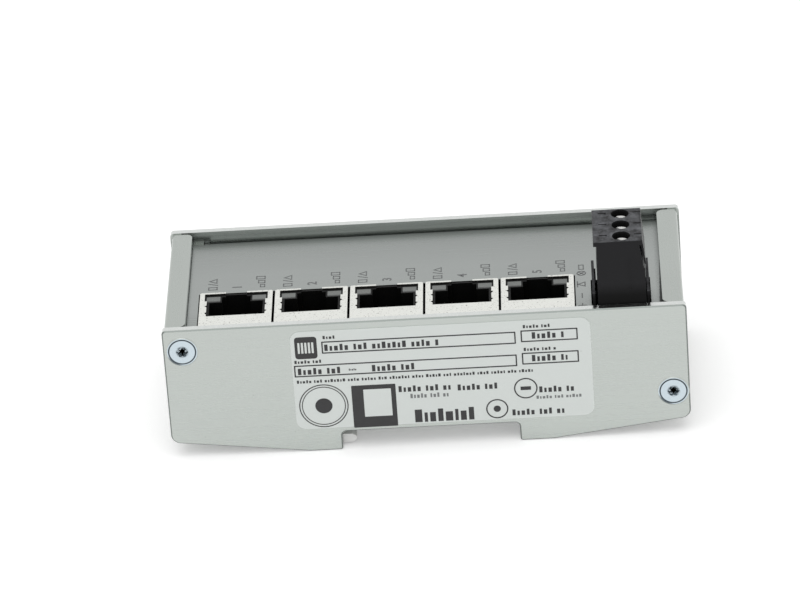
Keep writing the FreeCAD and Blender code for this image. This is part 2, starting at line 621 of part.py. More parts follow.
def rivet(name, x, y, low):
    """A rivet from the underside of what it holds to the inside of the rear wall."""
    body = new_body(name, (x, y, "0"))
    turn(body, [
        ("0", f"{low} - rivet_head_height"), ("rivet_head / 2 - 0.5", f"{low} - rivet_head_height"),
        ("rivet_head / 2", low), ("rivet_shank / 2", low), ("rivet_shank / 2", REAR_TOP),
        ("rivet_head / 2", REAR_TOP), ("0", f"{REAR_TOP} + rivet_head_height"),
    ])
    return body


def fasteners():
    screws = []
    for count, ((x, z), side) in enumerate([(LEFT_SCREW, "-"), (RIGHT_SCREW, "-"),
                                            (LEFT_SCREW, ""), (RIGHT_SCREW, "")], 1):
        screws.append(case_screw(f"case_screw_{count}", x, z, side))
    rivets = [rivet(f"hook_rivet_{i}", x, y, "(rail_gap_depth - hook_plate)")
              for i, (x, y) in enumerate(HOOK_RIVETS, 1)]
    rivets += [rivet(f"guide_rivet_{i}", x, y, "(rail_gap_depth - guide_sheet)")
               for i, (x, y) in enumerate(GUIDE_RIVETS, 1)]
    return [group("case_screws", screws), group("clip_rivets", rivets)]


# ---------------------------------------------------------------- rail clip

def din_hook():
    """The fixed hook: a moulded strip that lies right across the case."""
    body = new_body("din_hook")
    lip_top = "(hook_bottom + hook_thick)"
    tip = "(-hook_web + hook_reach)"
    plate_low = "(rail_gap_depth - hook_plate)"
    outline = [
        ("-hook_length", "rail_gap_depth"), ("-hook_length", plate_low),
        ("-hook_web - 3", plate_low), ("-hook_web - 3", "hook_bottom + 0.5"),
        ("-hook_web - 2.5", "hook_bottom"), (f"{tip} - 0.7", "hook_bottom"),
        (tip, "hook_bottom + 0.6"), (tip, f"{lip_top} - 0.6"), (f"{tip} - 0.9", lip_top),
        ("-hook_web", lip_top), ("-hook_web", "rail_gap_depth"),
    ]
    span = f"({PANEL_IN} - hook_end_gap)"
    add(body, "XZ_Plane", f"-{span}", span, polygon(outline))
    cut(body, "XY_Plane", plate_low, "rail_gap_depth", *[circle(x, y, "rivet_hole") for x, y in HOOK_RIVETS])
    return body


def din_latch():
    """The sprung slide: its hook grips the rail's other edge, its tail takes a screwdriver."""
    body = new_body("din_latch")
    low = f"({LATCH_TOP} - latch_sheet)"
    tip = "(latch_web - latch_reach)"
    lip_end = "(guide_start - latch_travel - latch_gap)"
    outline = [
        (tip, "hook_bottom + 0.6"), (f"{tip} + 0.7", "hook_bottom"), (f"{lip_end} - 0.6", "hook_bottom"),
        (lip_end, low), ("guide_end + 3", low), ("guide_end + 5", f"{low} + 0.9"),
        ("latch_tail", f"{low} + 0.9"), ("latch_tail", LATCH_TOP), ("latch_web", LATCH_TOP),
        ("latch_web", "hook_bottom + hook_thick"), (f"{tip} + 1.1", "hook_bottom + hook_thick"),
        (tip, "hook_bottom + hook_thick - 0.7"),
    ]
    add(body, "XZ_Plane", "-latch_half", "latch_half", polygon(outline))
    slot = "(spring_diameter / 2 + latch_gap)"
    cut(body, "XY_Plane", low, LATCH_TOP,
        rectangle("spring_start", "spring_post + guide_sheet + latch_travel + latch_gap", f"-{slot}", slot))
    cut(body, "XY_Plane", low, LATCH_TOP, rectangle("latch_tail - 4", "latch_tail - 2", "-2.5", "2.5"))
    dress(body, "Fillet", "1.5", edges_at("z", ("latch_tail", "latch_half"), ("latch_tail", "-latch_half")))
    return body


def din_guide():
    """A folded channel under the rear wall that carries the latch, with a post for its spring."""
    body = new_body("din_guide")
    inner = "(latch_half + latch_gap)"
    outer = f"({inner} + guide_sheet)"
    edge = f"({outer} + guide_flange)"
    floor_top = f"({LATCH_TOP} - latch_sheet - latch_gap)"
    floor_low = f"({floor_top} - guide_sheet)"
    flange_low = "(rail_gap_depth - guide_sheet)"
    outline = [
        (f"-{edge}", flange_low), (f"-{outer}", flange_low), (f"-{outer}", floor_low), (outer, floor_low),
        (outer, flange_low), (edge, flange_low), (edge, "rail_gap_depth"), (inner, "rail_gap_depth"),
        (inner, floor_top), (f"-{inner}", floor_top), (f"-{inner}", "rail_gap_depth"),
        (f"-{edge}", "rail_gap_depth"),
    ]
    add(body, "YZ_Plane", "guide_start", "guide_end", polygon(outline))
    dress(body, "Fillet", "guide_sheet", edges_at("x", (f"-{outer}", floor_low), (outer, floor_low)))
    post = "(spring_diameter / 2)"
    add(body, "YZ_Plane", "spring_post", "spring_post + guide_sheet",
        rectangle(f"-{post}", post, floor_top, LATCH_TOP))
    rivets = [circle(x, y, "rivet_hole") for x, y in GUIDE_RIVETS]
    cut(body, "XY_Plane", flange_low, "rail_gap_depth", *rivets)
    return body


def latch_spring():
    """A compression spring along X, swept round a helix."""
    body = new_body("latch_spring", ("spring_start", "0", SPRING_LEVEL))
    mean = "(spring_diameter / 2 - spring_wire / 2)"
    free = "(spring_post - spring_start - spring_wire - 0.1)"
    section = []
    for step in range(4):
        angle = math.radians(90 * step)
        x = f"{mean} + {math.cos(angle):.4f} * spring_wire / 2"
        section.append((x, f"{math.sin(angle):.4f} * spring_wire / 2"))
    sketch = new_sketch(body, "XZ_Plane", "0", [polygon(section)])
    coil = body.newObject("PartDesign::AdditiveHelix", "latch_spring_coil")
    coil.Profile = sketch
    coil.ReferenceAxis = (sketch, ["V_Axis"])
    coil.Mode = "height-turns-growth"
    coil.setExpression("Height", bind(free))
    coil.setExpression("Turns", bind("spring_turns"))
    body.Placement.Rotation = FreeCAD.Rotation(FreeCAD.Vector(0, 1, 0), 90)
    place(body, ("spring_start + spring_wire / 2 + 0.05", "0", SPRING_LEVEL))
    return body


# ---------------------------------------------------------------- board and what stands on it

def main_board():
    body = new_body("main_board")
    add(body, "XY_Plane", BOARD_BOTTOM, BOARD_TOP,
        rectangle(f"-{BOARD_HALF_X}", BOARD_HALF_X, f"-{BOARD_HALF_Y}", BOARD_HALF_Y))
    dress(body, "Fillet", "board_corner", edges_at("z", (None, None)))
    screws = [circle(x, y, "post_thread + screw_clearance") for x, y in POST_SPOTS]
    first = f"{POLE_MIDDLE} + {POLE_FIRST}"
    pins = [circle(f"{HEADER_X} + pin_offset", f"{first} + {step} * pole_pitch", "1.7 * pin_size")
            for step in range(POLE_COUNT)]
    cut(body, "XY_Plane", BOARD_BOTTOM, BOARD_TOP, *screws, *pins)
    return body


def hexagon(x, y, flats):
    """A six-sided outline round a point, with two of its flats along X."""
    corners = []
    for step in range(6):
        angle = math.radians(60 * step)
        reach = f"({flats}) / 1.7320508"
        corners.append((f"{x} + {math.cos(angle):.6f} * {reach}", f"{y} + {math.sin(angle):.6f} * {reach}"))
    return polygon(corners)


def board_posts():
    body = new_body("board_posts")
    low = "(rail_gap_depth + post_fit)"
    add(body, "XY_Plane", REAR_TOP, BOARD_BOTTOM, *[hexagon(x, y, "post_flats") for x, y in POST_SPOTS])
    add(body, "XY_Plane", low, REAR_TOP, *[hexagon(x, y, "post_stub") for x, y in POST_SPOTS])
    cut(body, "XY_Plane", low, BOARD_BOTTOM, *[circle(x, y, "post_bore") for x, y in POST_SPOTS])
    return body


def board_screws():
    body = new_body("board_screws")
    heads = [circle(x, y, "board_screw_head") for x, y in POST_SPOTS]
    shanks = [circle(x, y, "post_thread") for x, y in POST_SPOTS]
    add(body, "XY_Plane", BOARD_TOP, f"{BOARD_TOP} + board_screw_head_height", *heads)
    add(body, "XY_Plane", f"{BOARD_TOP} - board_screw_length", BOARD_TOP, *shanks)
    for along, across in (("1.5", "0.35"), ("0.35", "1.5")):
        bars = [rectangle(f"{x} - {along}", f"{x} + {along}", f"{y} - {across}", f"{y} + {across}")
                for x, y in POST_SPOTS]
        cut(body, "XY_Plane", f"{BOARD_TOP} + board_screw_head_height - 0.9",
            f"{BOARD_TOP} + board_screw_head_height", *bars)
    return body


def chip(label, x, y, width, depth, height):
    """A flat moulded package with a pin-one mark."""
    body = new_body(label, (x, y, BOARD_TOP))
    half_x, half_y = f"{width} / 2", f"{depth} / 2"
    add(body, "XY_Plane", "0", height, rectangle(f"-{half_x}", half_x, f"-{half_y}", half_y))
    dress(body, "Chamfer", "0.2", edges_at("x", (None, height)), edges_at("y", (None, height)))
    cut(body, "XY_Plane", f"{height} - 0.15", height, circle(f"-{half_x} + 1.4", f"-{half_y} + 1.4", "1"))
    return body


def capacitor(name, count):
    """A can capacitor with a rounded top, counted from the board's end."""
    x = f"{BOARD_HALF_X} - can_end - {count} * (can_size + can_gap)"
    body = new_body(name, (x, f"{BOARD_HALF_Y} - can_far", BOARD_TOP))
    radius = "can_size / 2"
    turn(body, [
        ("0", "0"), (radius, "0"), (radius, "can_height - 0.4"),
        (f"{radius} - 0.4", "can_height"), ("0", "can_height"),
    ])
    return body


def inductor():
    place_y = f"{HEADER_FAR} + inductor_clear + inductor_size / 2"
    body = new_body("power_inductor", (f"{HEADER_X} - inductor_x", place_y, BOARD_TOP))
    half = "(inductor_size / 2)"
    add(body, "XY_Plane", "0", "1", rectangle(f"-{half}", half, f"-{half}", half))
    dress(body, "Fillet", "1", edges_at("z", (None, None)))
    add(body, "XY_Plane", "1", "inductor_height", circle("0", "0", "inductor_size - 0.6"))
    return body


def crystal():
    body = new_body("clock_crystal", ("-crystal_x", FAR_PARTS, BOARD_TOP))
    for low, high, rim in (("0", "0.5", "0"), ("0.5", "crystal_height", "0.5")):
        end = f"(crystal_length / 2 - {rim})"
        side = f"(crystal_width / 2 - {rim})"
        add(body, "XY_Plane", low, high, slot(end, side))
    return body


def transformers():
    """One isolating transformer for each port, in the port's own pitch."""
    body = new_body("port_transformers")
    first = f"({JACK_MIDDLE} - {(PORT_COUNT - 1) / 2} * {JACK_PITCH})"
    half = "magnetic_length / 2"
    near = f"({JACK_FAR} + magnetic_clear)"
    block = add(body, "XY_Plane", BOARD_TOP, f"{BOARD_TOP} + magnetic_height",
                rectangle(f"{first} - {half}", f"{first} + {half}", near, f"{near} + magnetic_depth"))
    repeat(body, block, "X_Axis", PORT_COUNT, JACK_PITCH)
    return body


# ---------------------------------------------------------------- ports

def jack_place(count):
    x = f"{JACK_MIDDLE} + {count - (PORT_COUNT + 1) / 2} * {JACK_PITCH}"
    return (x, JACK_NEAR, BOARD_TOP)


def jack_shield(count):
    """A folded can, open to the board, with the mouth, latch slot and spring notches in its face."""
    body = new_body(f"jack_{count}_shield", jack_place(count))
    half = "(jack_width / 2)"
    inner = f"({half} - shield_sheet)"
    face = "(jack_height - shield_sheet)"
    add(body, "XY_Plane", "0", "jack_height", rectangle(f"-{half}", half, "0", "jack_depth"))
    dress(body, "Fillet", "shield_corner", edges_at("z", (None, None)))
    cut(body, "XY_Plane", "0", face, rectangle(f"-{inner}", inner, "shield_sheet", "jack_depth - shield_sheet"))
    upper = f"{half} - mouth_upper_side"
    lower = f"{half} - mouth_lower_side"
    right = [
        ("latch_slot_half", "-1"), ("latch_slot_half", "mouth_top"), (upper, "mouth_top"),
        (upper, "mouth_step"), (lower, "mouth_step"),
    ]
    for low in ("mouth_step + notch_first", "mouth_step + notch_second"):
        right += [(lower, low), (f"{lower} + notch_reach", f"{low} + 0.25"), (lower, f"{low} + 0.9")]
    right += [(lower, "mouth_bottom")]
    mouth = [(x, f"jack_depth - ({down})") for x, down in right]
    mouth += [(f"-({x})", y) for x, y in reversed(mouth)]
    cut(body, "XY_Plane", face, "jack_height", polygon(mouth))
    cut(body, "XZ_Plane", "jack_depth - shield_sheet", "jack_depth",
        rectangle("-latch_slot_half", "latch_slot_half", "jack_height - 2", "jack_height"))
    return body


def jack_insert(count):
    """The moulded insert: plug socket with its latch step, and a recess for each lamp."""
    body = new_body(f"jack_{count}_insert", jack_place(count))
    side = "(jack_width / 2 - shield_sheet - shield_gap)"
    near = "(shield_sheet + shield_gap)"
    far = "(jack_depth - shield_sheet - shield_gap)"
    add(body, "XY_Plane", "0", INSERT_TOP, rectangle(f"-{side}", side, near, far))
    step = "(jack_depth - socket_edge)"
    ledge = "(jack_depth - latch_notch_edge)"
    socket = [
        ("socket_half", "jack_depth - socket_bottom"), ("socket_half", step), ("latch_notch_half", step),
        ("latch_notch_half", ledge), ("latch_slot_half", ledge), ("latch_slot_half", f"{far} - slot_wall"),
    ]
    socket += [(f"-{x}", y) for x, y in reversed(socket)]
    cut(body, "XY_Plane", "socket_floor", INSERT_TOP, polygon(socket))
    for ends in ((f"-{LAMP_OUTER}", f"-{LAMP_INNER}"), (LAMP_INNER, LAMP_OUTER)):
        cut(body, "XY_Plane", f"{INSERT_TOP} - lamp_length", INSERT_TOP,
            rectangle(*ends, "jack_depth - lamp_bottom", "jack_depth - lamp_edge"))
    return body


def jack_lamps(count):
    """Two lamp lenses beside the latch."""
    body = new_body(f"jack_{count}_lamps", jack_place(count))
    low, high = f"{INSERT_TOP} - lamp_length + lamp_gap", f"{INSERT_TOP} - lamp_gap"
    across = ("jack_depth - lamp_bottom + lamp_gap", "jack_depth - lamp_edge - lamp_gap")
    add(body, "XY_Plane", low, high,
        rectangle(f"-{LAMP_OUTER} + lamp_gap", f"-{LAMP_INNER} - lamp_gap", *across),
        rectangle(f"{LAMP_INNER} + lamp_gap", f"{LAMP_OUTER} - lamp_gap", *across))
    return body


def jack_contacts(count):
    """Eight spring wires that slant from the socket's lower side."""
    body = new_body(f"jack_{count}_contacts", jack_place(count))
    base = "(jack_depth - socket_bottom)"
    top = f"({INSERT_TOP} - 1)"
    tip = "(socket_floor + 3.5)"
    profile = [
        (base, top), (base, f"{top} - 0.9"), (f"{base} + contact_reach - contact_sheet", tip),
        (f"{base} + contact_reach", tip), (f"{base} + contact_sheet", f"{top} - 0.85"),
        (f"{base} + contact_sheet", top),
    ]
    first = f"(-{(CONTACT_COUNT - 1) / 2} * contact_pitch - contact_width / 2)"
    wire = add(body, "YZ_Plane", first, f"{first} + contact_width", polygon(profile))
    repeat(body, wire, "X_Axis", CONTACT_COUNT, "contact_pitch")
    return body


# ---------------------------------------------------------------- supply terminal

def power_header():
    """The raised header: an open channel on a hollow base that stands on the board."""
    body = new_body("power_header", (HEADER_X, POLE_MIDDLE, BOARD_TOP))
    half = "(header_width / 2)"
    length = f"({POLE_ROW} / 2)"
    channel = f"({half} - header_wall)"
    add(body, "XY_Plane", "0", HEADER_HEIGHT, rectangle(f"-{half}", half, f"-{length}", length))
    cut(body, "XY_Plane", CHANNEL_FLOOR, HEADER_HEIGHT, rectangle(f"-{channel}", channel, f"-{length}", length))
    first = POLE_FIRST
    hollow = f"({half} - header_base_wall)"
    cell = "(pole_pitch / 2 - header_wall)"
    core = cut(body, "XY_Plane", "0", f"{CHANNEL_FLOOR} - header_floor",
               rectangle(f"-{hollow}", hollow, f"{first} - {cell}", f"{first} + {cell}"))
    repeat(body, core, "Y_Axis", POLE_COUNT, "pole_pitch")
    slot = "(pin_size / 2 + pin_gap)"
    hole = cut(body, "XY_Plane", f"{CHANNEL_FLOOR} - header_floor", CHANNEL_FLOOR,
               rectangle(f"pin_offset - {slot}", f"pin_offset + {slot}",
                         f"{first} - {slot}", f"{first} + {slot}"))
    repeat(body, hole, "Y_Axis", POLE_COUNT, "pole_pitch")
    rib = add(body, "XY_Plane", CHANNEL_FLOOR, f"{HEADER_HEIGHT} - 1",
              rectangle(f"-{channel}", f"-{channel} + header_rib", f"{first} - 0.6", f"{first} + 0.6"))
    repeat(body, rib, "Y_Axis", POLE_COUNT, "pole_pitch")
    return body


def header_pins():
    body = new_body("header_pins", (f"{HEADER_X} + pin_offset", POLE_MIDDLE, BOARD_TOP))
    half = "(pin_size / 2)"
    low = "(-board_sheet - pin_tail)"
    high = f"({CHANNEL_FLOOR} + pin_rise)"
    first = POLE_FIRST
    outline = [
        (f"-{half} / 2", low), (f"{half} / 2", low),
        (half, f"{low} + 0.6"), (half, f"{high} - 0.8"),
        (f"{half} / 2", high), (f"-{half} / 2", high),
        (f"-{half}", f"{high} - 0.8"), (f"-{half}", f"{low} + 0.6"),
    ]
    pin = add(body, "XZ_Plane", f"{first} - {half}", f"{first} + {half}", polygon(outline))
    repeat(body, pin, "Y_Axis", POLE_COUNT, "pole_pitch")
    return body


PLUG_AT = (HEADER_X, POLE_MIDDLE, f"{BOARD_TOP} + {CHANNEL_FLOOR} + plug_seat_gap")


def terminal_plug():
    """The pull-off terminal block: foot, side clip, screw wells, clamp chambers and wire entries."""
    body = new_body("terminal_plug", PLUG_AT)
    length = f"({POLE_ROW} / 2 - plug_end_gap)"
    top = PLUG_HEIGHT
    lip = "(-plug_left + plug_taper - plug_lip)"
    outline = [
        ("-plug_left + 0.4", "0"), ("plug_right - 0.4", "0"), ("plug_right", "1"),
        ("plug_right", f"{top} - clip_foot - 0.4"), ("plug_right - 0.3", f"{top} - clip_foot - 0.1"),
        ("plug_right - 1.15", f"{top} - clip_top"), ("plug_right - 0.85", f"{top} - clip_top"),
        ("plug_right - 0.05", f"{top} - clip_foot"), ("plug_right + 0.2", f"{top} - clip_foot"),
        ("plug_right - 0.4", top), (lip, top), (lip, f"{top} - plug_lip_height"),
        ("-plug_left + plug_taper", f"{top} - plug_lip_height"),
        ("-plug_left", ENTRY_BOTTOM), ("-plug_left", "1"),
    ]
    add(body, "XZ_Plane", f"-{length}", length, polygon(outline))
    dress(body, "Fillet", "plug_edge", edges_at("x", (f"-{length}", top), (length, top)),
          edges_at("y", (lip, top)))
    cut(body, "XY_Plane", f"{top} - seam_step", top, rectangle(lip, "-seam_offset", f"-{length}", length))
    beside = [
        ("plug_right - 0.85", f"{top} - clip_top"), ("plug_right - 0.05", f"{top} - clip_foot"),
        ("plug_right + 0.5", f"{top} - clip_foot"), ("plug_right + 0.5", f"{top} - clip_top"),
    ]
    for low, high in ((f"-{length}", f"-{length} + clip_end"), (f"{length} - clip_end", length)):
        cut(body, "XZ_Plane", low, high, polygon(beside))
    first = POLE_FIRST
    x = "pin_offset"
    steps = [
        (SEAT_TOP, top, circle(x, first, "terminal_hole")),
        (CHAMBER_TOP, SEAT_TOP, circle(x, first, "terminal_bore")),
        ("0", CHAMBER_TOP, rectangle(f"{x} - chamber_left", f"{x} + chamber_right",
                                     f"{first} - chamber_half", f"{first} + chamber_half")),
    ]
    for low, high, drawing in steps:
        repeat(body, cut(body, "XY_Plane", low, high, drawing), "Y_Axis", POLE_COUNT, "pole_pitch")
    left = "(-seam_offset - 0.55)"
    far = f"{first} + mark_far"
    hook = polygon([
        (f"{left} - mark_length", f"{far} - mark_width"), (f"{left} - mark_width", f"{far} - mark_width"),
        (f"{left} - mark_width", f"{far} - mark_hook"), (left, f"{far} - mark_hook"), (left, far),
        (f"{left} - mark_length", far),
    ])
    marks = [
        (f"{top} - seam_step - mark_depth", f"{top} - seam_step", hook),
        (f"{top} - mark_depth", top,
         rectangle("plug_right - notch_length", "plug_right", f"{first} + notch_far - notch_width",
                   f"{first} + notch_far")),
    ]
    for low, high, drawing in marks:
        repeat(body, cut(body, "XY_Plane", low, high, drawing), "Y_Axis", POLE_COUNT, "pole_pitch")
    groove = rectangle("end_groove_x - end_groove / 2", "end_groove_x + end_groove / 2",
                       "header_channel + 0.5", f"{top} - 4.5")
    for low, high in ((f"-{length}", f"-{length} + mark_depth / 2"), (f"{length} - mark_depth / 2", length)):
        cut(body, "XZ_Plane", low, high, groove)
    entry = cut(body, "YZ_Plane", "-plug_left", f"{x} - chamber_left",
                rectangle(f"{first} - entry_size / 2", f"{first} + entry_size / 2",
                          ENTRY_BOTTOM, f"{ENTRY_BOTTOM} + entry_size"))
    repeat(body, entry, "Y_Axis", POLE_COUNT, "pole_pitch")
    return body


def pole_place(count, level):
    y = f"{POLE_MIDDLE} + {count - (POLE_COUNT + 1) / 2} * pole_pitch"
    return (f"{HEADER_X} + pin_offset", y, f"{PLUG_AT[2]} + {level}")


def terminal_screw(count):
    """A slotted cheese head screw."""
    body = new_body(f"terminal_screw_{count}", pole_place(count, HEAD_TOP))
    tip = "(-terminal_head_height - terminal_length)"
    turn(body, [
        ("0", tip), ("terminal_thread / 2 - 0.3", tip), ("terminal_thread / 2", f"{tip} + 0.3"),
        ("terminal_thread / 2", "-terminal_head_height"), ("terminal_head / 2", "-terminal_head_height"),
        ("terminal_head / 2", "-0.25"), ("terminal_head / 2 - 0.25", "0"), ("0", "0"),
    ])
    reach = "terminal_head"
    half = "terminal_slot / 2"
    diagonal = math.sqrt(0.5)
    corners = [(1, 1), (1, -1), (-1, -1), (-1, 1)]
    slot = [(f"({a} * {reach} - {b} * {half}) * {diagonal:.4f}",
             f"({-a} * {reach} - {b} * {half}) * {diagonal:.4f}")
            for a, b in corners]
    cut(body, "XY_Plane", "-terminal_slot_depth", "0", polygon(slot))
    return body


def wire_clamp(count):
    """A rising clamp: a square box with a window, tapped in its top wall."""
    body = new_body(f"wire_clamp_{count}", pole_place(count, CLAMP_BOTTOM))
    add(body, "XY_Plane", "0", "clamp_height",
        rectangle("-clamp_half_x", "clamp_half_x", "-clamp_half_y", "clamp_half_y"))
    cut(body, "YZ_Plane", "-clamp_half_x", "clamp_half_x",
        rectangle("-clamp_window", "clamp_window", "clamp_floor", "clamp_height - clamp_floor"))
    cut(body, "XY_Plane", "clamp_height - clamp_floor", "clamp_height",
        circle("0", "0", "terminal_thread + 2 * clamp_running"))
    return body


def plug_contacts():
    """The bars that the clamps press wires on, each with two leaves for its header pin."""
    body = new_body("plug_contacts", (f"{HEADER_X} + pin_offset", POLE_MIDDLE, PLUG_AT[2]))
    strip = "(chamber_right - 0.15)"
    leaf = "(pin_size / 2 + leaf_gap)"
    bridge = "(pin_rise - plug_seat_gap + 0.4)"
    outline = [
        ("-clamp_half_x", BAR_TOP), ("-clamp_half_x", f"{BAR_TOP} - bar_sheet"),
        (f"{strip} - leaf_sheet", f"{BAR_TOP} - bar_sheet"),
        (f"{strip} - leaf_sheet", f"{bridge} + leaf_sheet"),
        (f"-{leaf} - leaf_sheet", f"{bridge} + leaf_sheet"), (f"-{leaf} - leaf_sheet", "1"),
        (f"-{leaf}", "1"), (f"-{leaf}", bridge), (leaf, bridge), (leaf, "1"),
        (f"{leaf} + leaf_sheet", "1"), (f"{leaf} + leaf_sheet", bridge), (strip, bridge), (strip, BAR_TOP),
    ]
    first = POLE_FIRST
    bar = add(body, "XZ_Plane", f"{first} - bar_width / 2", f"{first} + bar_width / 2", polygon(outline))
    repeat(body, bar, "Y_Axis", POLE_COUNT, "pole_pitch")
    return body


# ---------------------------------------------------------------- the assembly

pieces = [side_panel("side_panel_label", True), side_panel("side_panel_back", False)]
pieces += [housing_frame(), port_plate(), label_foil()]
pieces += fasteners()
pieces += [din_hook(), din_latch(), din_guide(), latch_spring()]
pieces += [main_board(), board_posts(), board_screws(), transformers(), inductor(), crystal()]
pieces += [chip("switch_chip", "-chip_x", FAR_PARTS, "chip_size", "chip_size", "chip_height")]
pieces += [chip("converter_chip", f"{HEADER_X} + converter_x",
                f"{HEADER_FAR} + inductor_clear + inductor_size / 2",
                "converter_width", "converter_length", "converter_height")]
pieces += [group("supply_capacitors", [capacitor("input_capacitor", 0), capacitor("output_capacitor", 1)])]
for port in range(1, PORT_COUNT + 1):
    pieces += [jack_shield(port), jack_insert(port), jack_lamps(port), jack_contacts(port)]
pieces += [power_header(), header_pins(), terminal_plug(), plug_contacts()]
for pole in range(1, POLE_COUNT + 1):
    pieces += [terminal_screw(pole), wire_clamp(pole)]

doc.recompute()
for thing in doc.Objects:
    if {"Invalid", "Error"} & set(thing.State):
        raise RuntimeError(f"{thing.Name} failed: {thing.State}")
    if thing.TypeId in ("PartDesign::Pocket", "PartDesign::Groove"):
        if thing.Shape.Volume > thing.BaseFeature.Shape.Volume - 1e-4:
            raise RuntimeError(f"{thing.Name} cuts nothing")

os.makedirs("parts", exist_ok=True)
for piece in pieces:
    if piece.Shape.isNull() or not piece.Shape.isValid():
        raise RuntimeError(f"{piece.Label} has no valid shape")
for piece in pieces:
    piece.Shape.exportStep(f"parts/{piece.Label}.step")
print(len(pieces), "pieces written")
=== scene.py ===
"""Finishes, print and studio for a five-port rail switch."""
import math

import bpy
from bpy.props import FloatProperty, FloatVectorProperty, PointerProperty
from mathutils import Matrix, Vector


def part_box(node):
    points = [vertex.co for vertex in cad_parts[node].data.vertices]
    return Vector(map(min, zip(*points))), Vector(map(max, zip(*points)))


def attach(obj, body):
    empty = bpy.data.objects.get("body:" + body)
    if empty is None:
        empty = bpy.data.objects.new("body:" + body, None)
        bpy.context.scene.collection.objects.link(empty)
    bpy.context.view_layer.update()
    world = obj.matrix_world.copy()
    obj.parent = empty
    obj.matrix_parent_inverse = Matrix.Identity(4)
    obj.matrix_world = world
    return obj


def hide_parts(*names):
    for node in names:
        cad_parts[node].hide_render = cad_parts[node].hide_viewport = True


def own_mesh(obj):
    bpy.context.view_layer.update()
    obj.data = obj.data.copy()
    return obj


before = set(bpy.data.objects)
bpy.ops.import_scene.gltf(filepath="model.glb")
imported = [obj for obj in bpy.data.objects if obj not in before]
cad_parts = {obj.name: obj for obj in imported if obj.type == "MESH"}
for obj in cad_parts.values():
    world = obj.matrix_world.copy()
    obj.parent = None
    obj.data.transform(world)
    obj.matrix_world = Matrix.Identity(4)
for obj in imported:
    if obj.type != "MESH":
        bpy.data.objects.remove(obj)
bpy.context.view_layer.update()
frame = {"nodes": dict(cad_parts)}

bl_info = {
    "name": "Rail Switch Finishes",
    "version": (1, 0, 0),
    "blender": (4, 5, 0),
    "location": "3D View > Sidebar > Rail Switch",
    "description": "Finishes the parts of a rail-mounted five-port switch and sets up its studio",
    "category": "Object",
}

MM = 0.001
BODY = "switch"


def tone(red, green, blue):
    """A colour given as on a paint chart, 0 to 255, as the linear colour that a shader takes."""
    def linear(value):
        value /= 255
        return value / 12.92 if value <= 0.04045 else ((value + 0.055) / 1.055) ** 2.4
    return tuple(linear(value) for value in (red, green, blue))


def middle(node):
    low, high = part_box(node)
    return (low + high) / 2


PANEL_LOW, PANEL_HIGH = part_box("side_panel_label")
LABEL_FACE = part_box("label_foil")[0].y
PLATE_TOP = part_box("port_plate")[1].z
PORTS = [middle(f"jack_{count}_shield") for count in range(1, 6)]
SHIELD_LOW, SHIELD_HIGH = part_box("jack_1_shield")
POLES = [middle(f"terminal_screw_{count}") for count in range(1, 4)]
PLUG_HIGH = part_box("terminal_plug")[1]
SCREW_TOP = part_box("terminal_screw_1")[1].z
SCREW_LOW, SCREW_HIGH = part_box("case_screws")
SCREW_RADIUS = 3.0 * MM
SCREW_SPOTS = ((SCREW_LOW.x + SCREW_RADIUS, SCREW_HIGH.z - SCREW_RADIUS),
               (SCREW_HIGH.x - SCREW_RADIUS, SCREW_LOW.z + SCREW_RADIUS))
NEAR, FAR, RIGHT = (0, -1, 0), (0, 1, 0), (1, 0, 0)
WEDGE = (0.9996, -0.0299, 0)
UPRIGHT = Matrix(((1, 0, 0, 0), (0, 0, -1, 0), (0, 1, 0, 0), (0, 0, 0, 1)))
QUARTER = Matrix(((0, -1, 0, 0), (1, 0, 0, 0), (0, 0, 1, 0), (0, 0, 0, 1)))
ON_LABEL = Matrix.Translation((0, LABEL_FACE, 0)) @ UPRIGHT
ON_PLATE = Matrix.Translation((0, 0, PLATE_TOP)) @ QUARTER  # for a drawing read from the right-hand end
SMALL_TYPE = {"rhythm": (0.62, 0.4, 0.7, 0.5), "gap": 0.34}


# ---------------------------------------------------------------- settings

def colour(label, text, default):
    return FloatVectorProperty(name=label, description=text, subtype="COLOR", size=3,
                               min=0, max=1, default=default)


def length(label, text, default):
    return FloatProperty(name=label, description=text, subtype="DISTANCE", unit="LENGTH",
                         min=0, default=default, precision=5)


def share(label, text, default):
    return FloatProperty(name=label, description=text, subtype="FACTOR", min=0, max=1, default=default)


def angle(label, text, default):
    return FloatProperty(name=label, description=text, subtype="ANGLE", unit="ROTATION", default=default)


class StudioSettings(bpy.types.PropertyGroup):
    azimuth: angle("Azimuth", "Turn of the camera round the switch", math.radians(2.405))
    elevation: angle("Elevation", "Height of the camera above the horizon", math.radians(29.0587))
    roll: angle("Roll", "Turn of the camera about its line of sight", math.radians(-4.1476))
    distance: length("Distance", "Camera to the point it looks at", 1.23388)
    aim: FloatVectorProperty(name="Aim", description="Point that the camera looks at",
                             subtype="TRANSLATION", unit="LENGTH", size=3, precision=5,
                             default=(-0.00579, -0.0004, 0.023525))
    lens: FloatProperty(name="Lens", description="Focal length in millimetres", unit="CAMERA",
                        default=249.078)
    floor_size: length("Floor", "Side of the square floor", 6.0)
    floor_colour: colour("Floor colour", "Colour of the floor", (0.85, 0.85, 0.85))
    floor_glow: share("Floor glow", "Own light of the floor where it is seen", 0.26)
    sky_level: share("Sky level", "Light of the plain surroundings on the switch", 0.66)
    lamp_power: FloatProperty(name="Lamp", description="Strength of the soft lamp", min=0, default=1.2)
    lamp_spread: angle("Lamp spread", "Angle that the soft lamp fills", 1.0)
    lamp_tilt: angle("Lamp tilt", "Lamp away from straight overhead", math.radians(14))
    lamp_turn: angle("Lamp turn", "Lamp about the vertical, from the front", math.radians(-20))


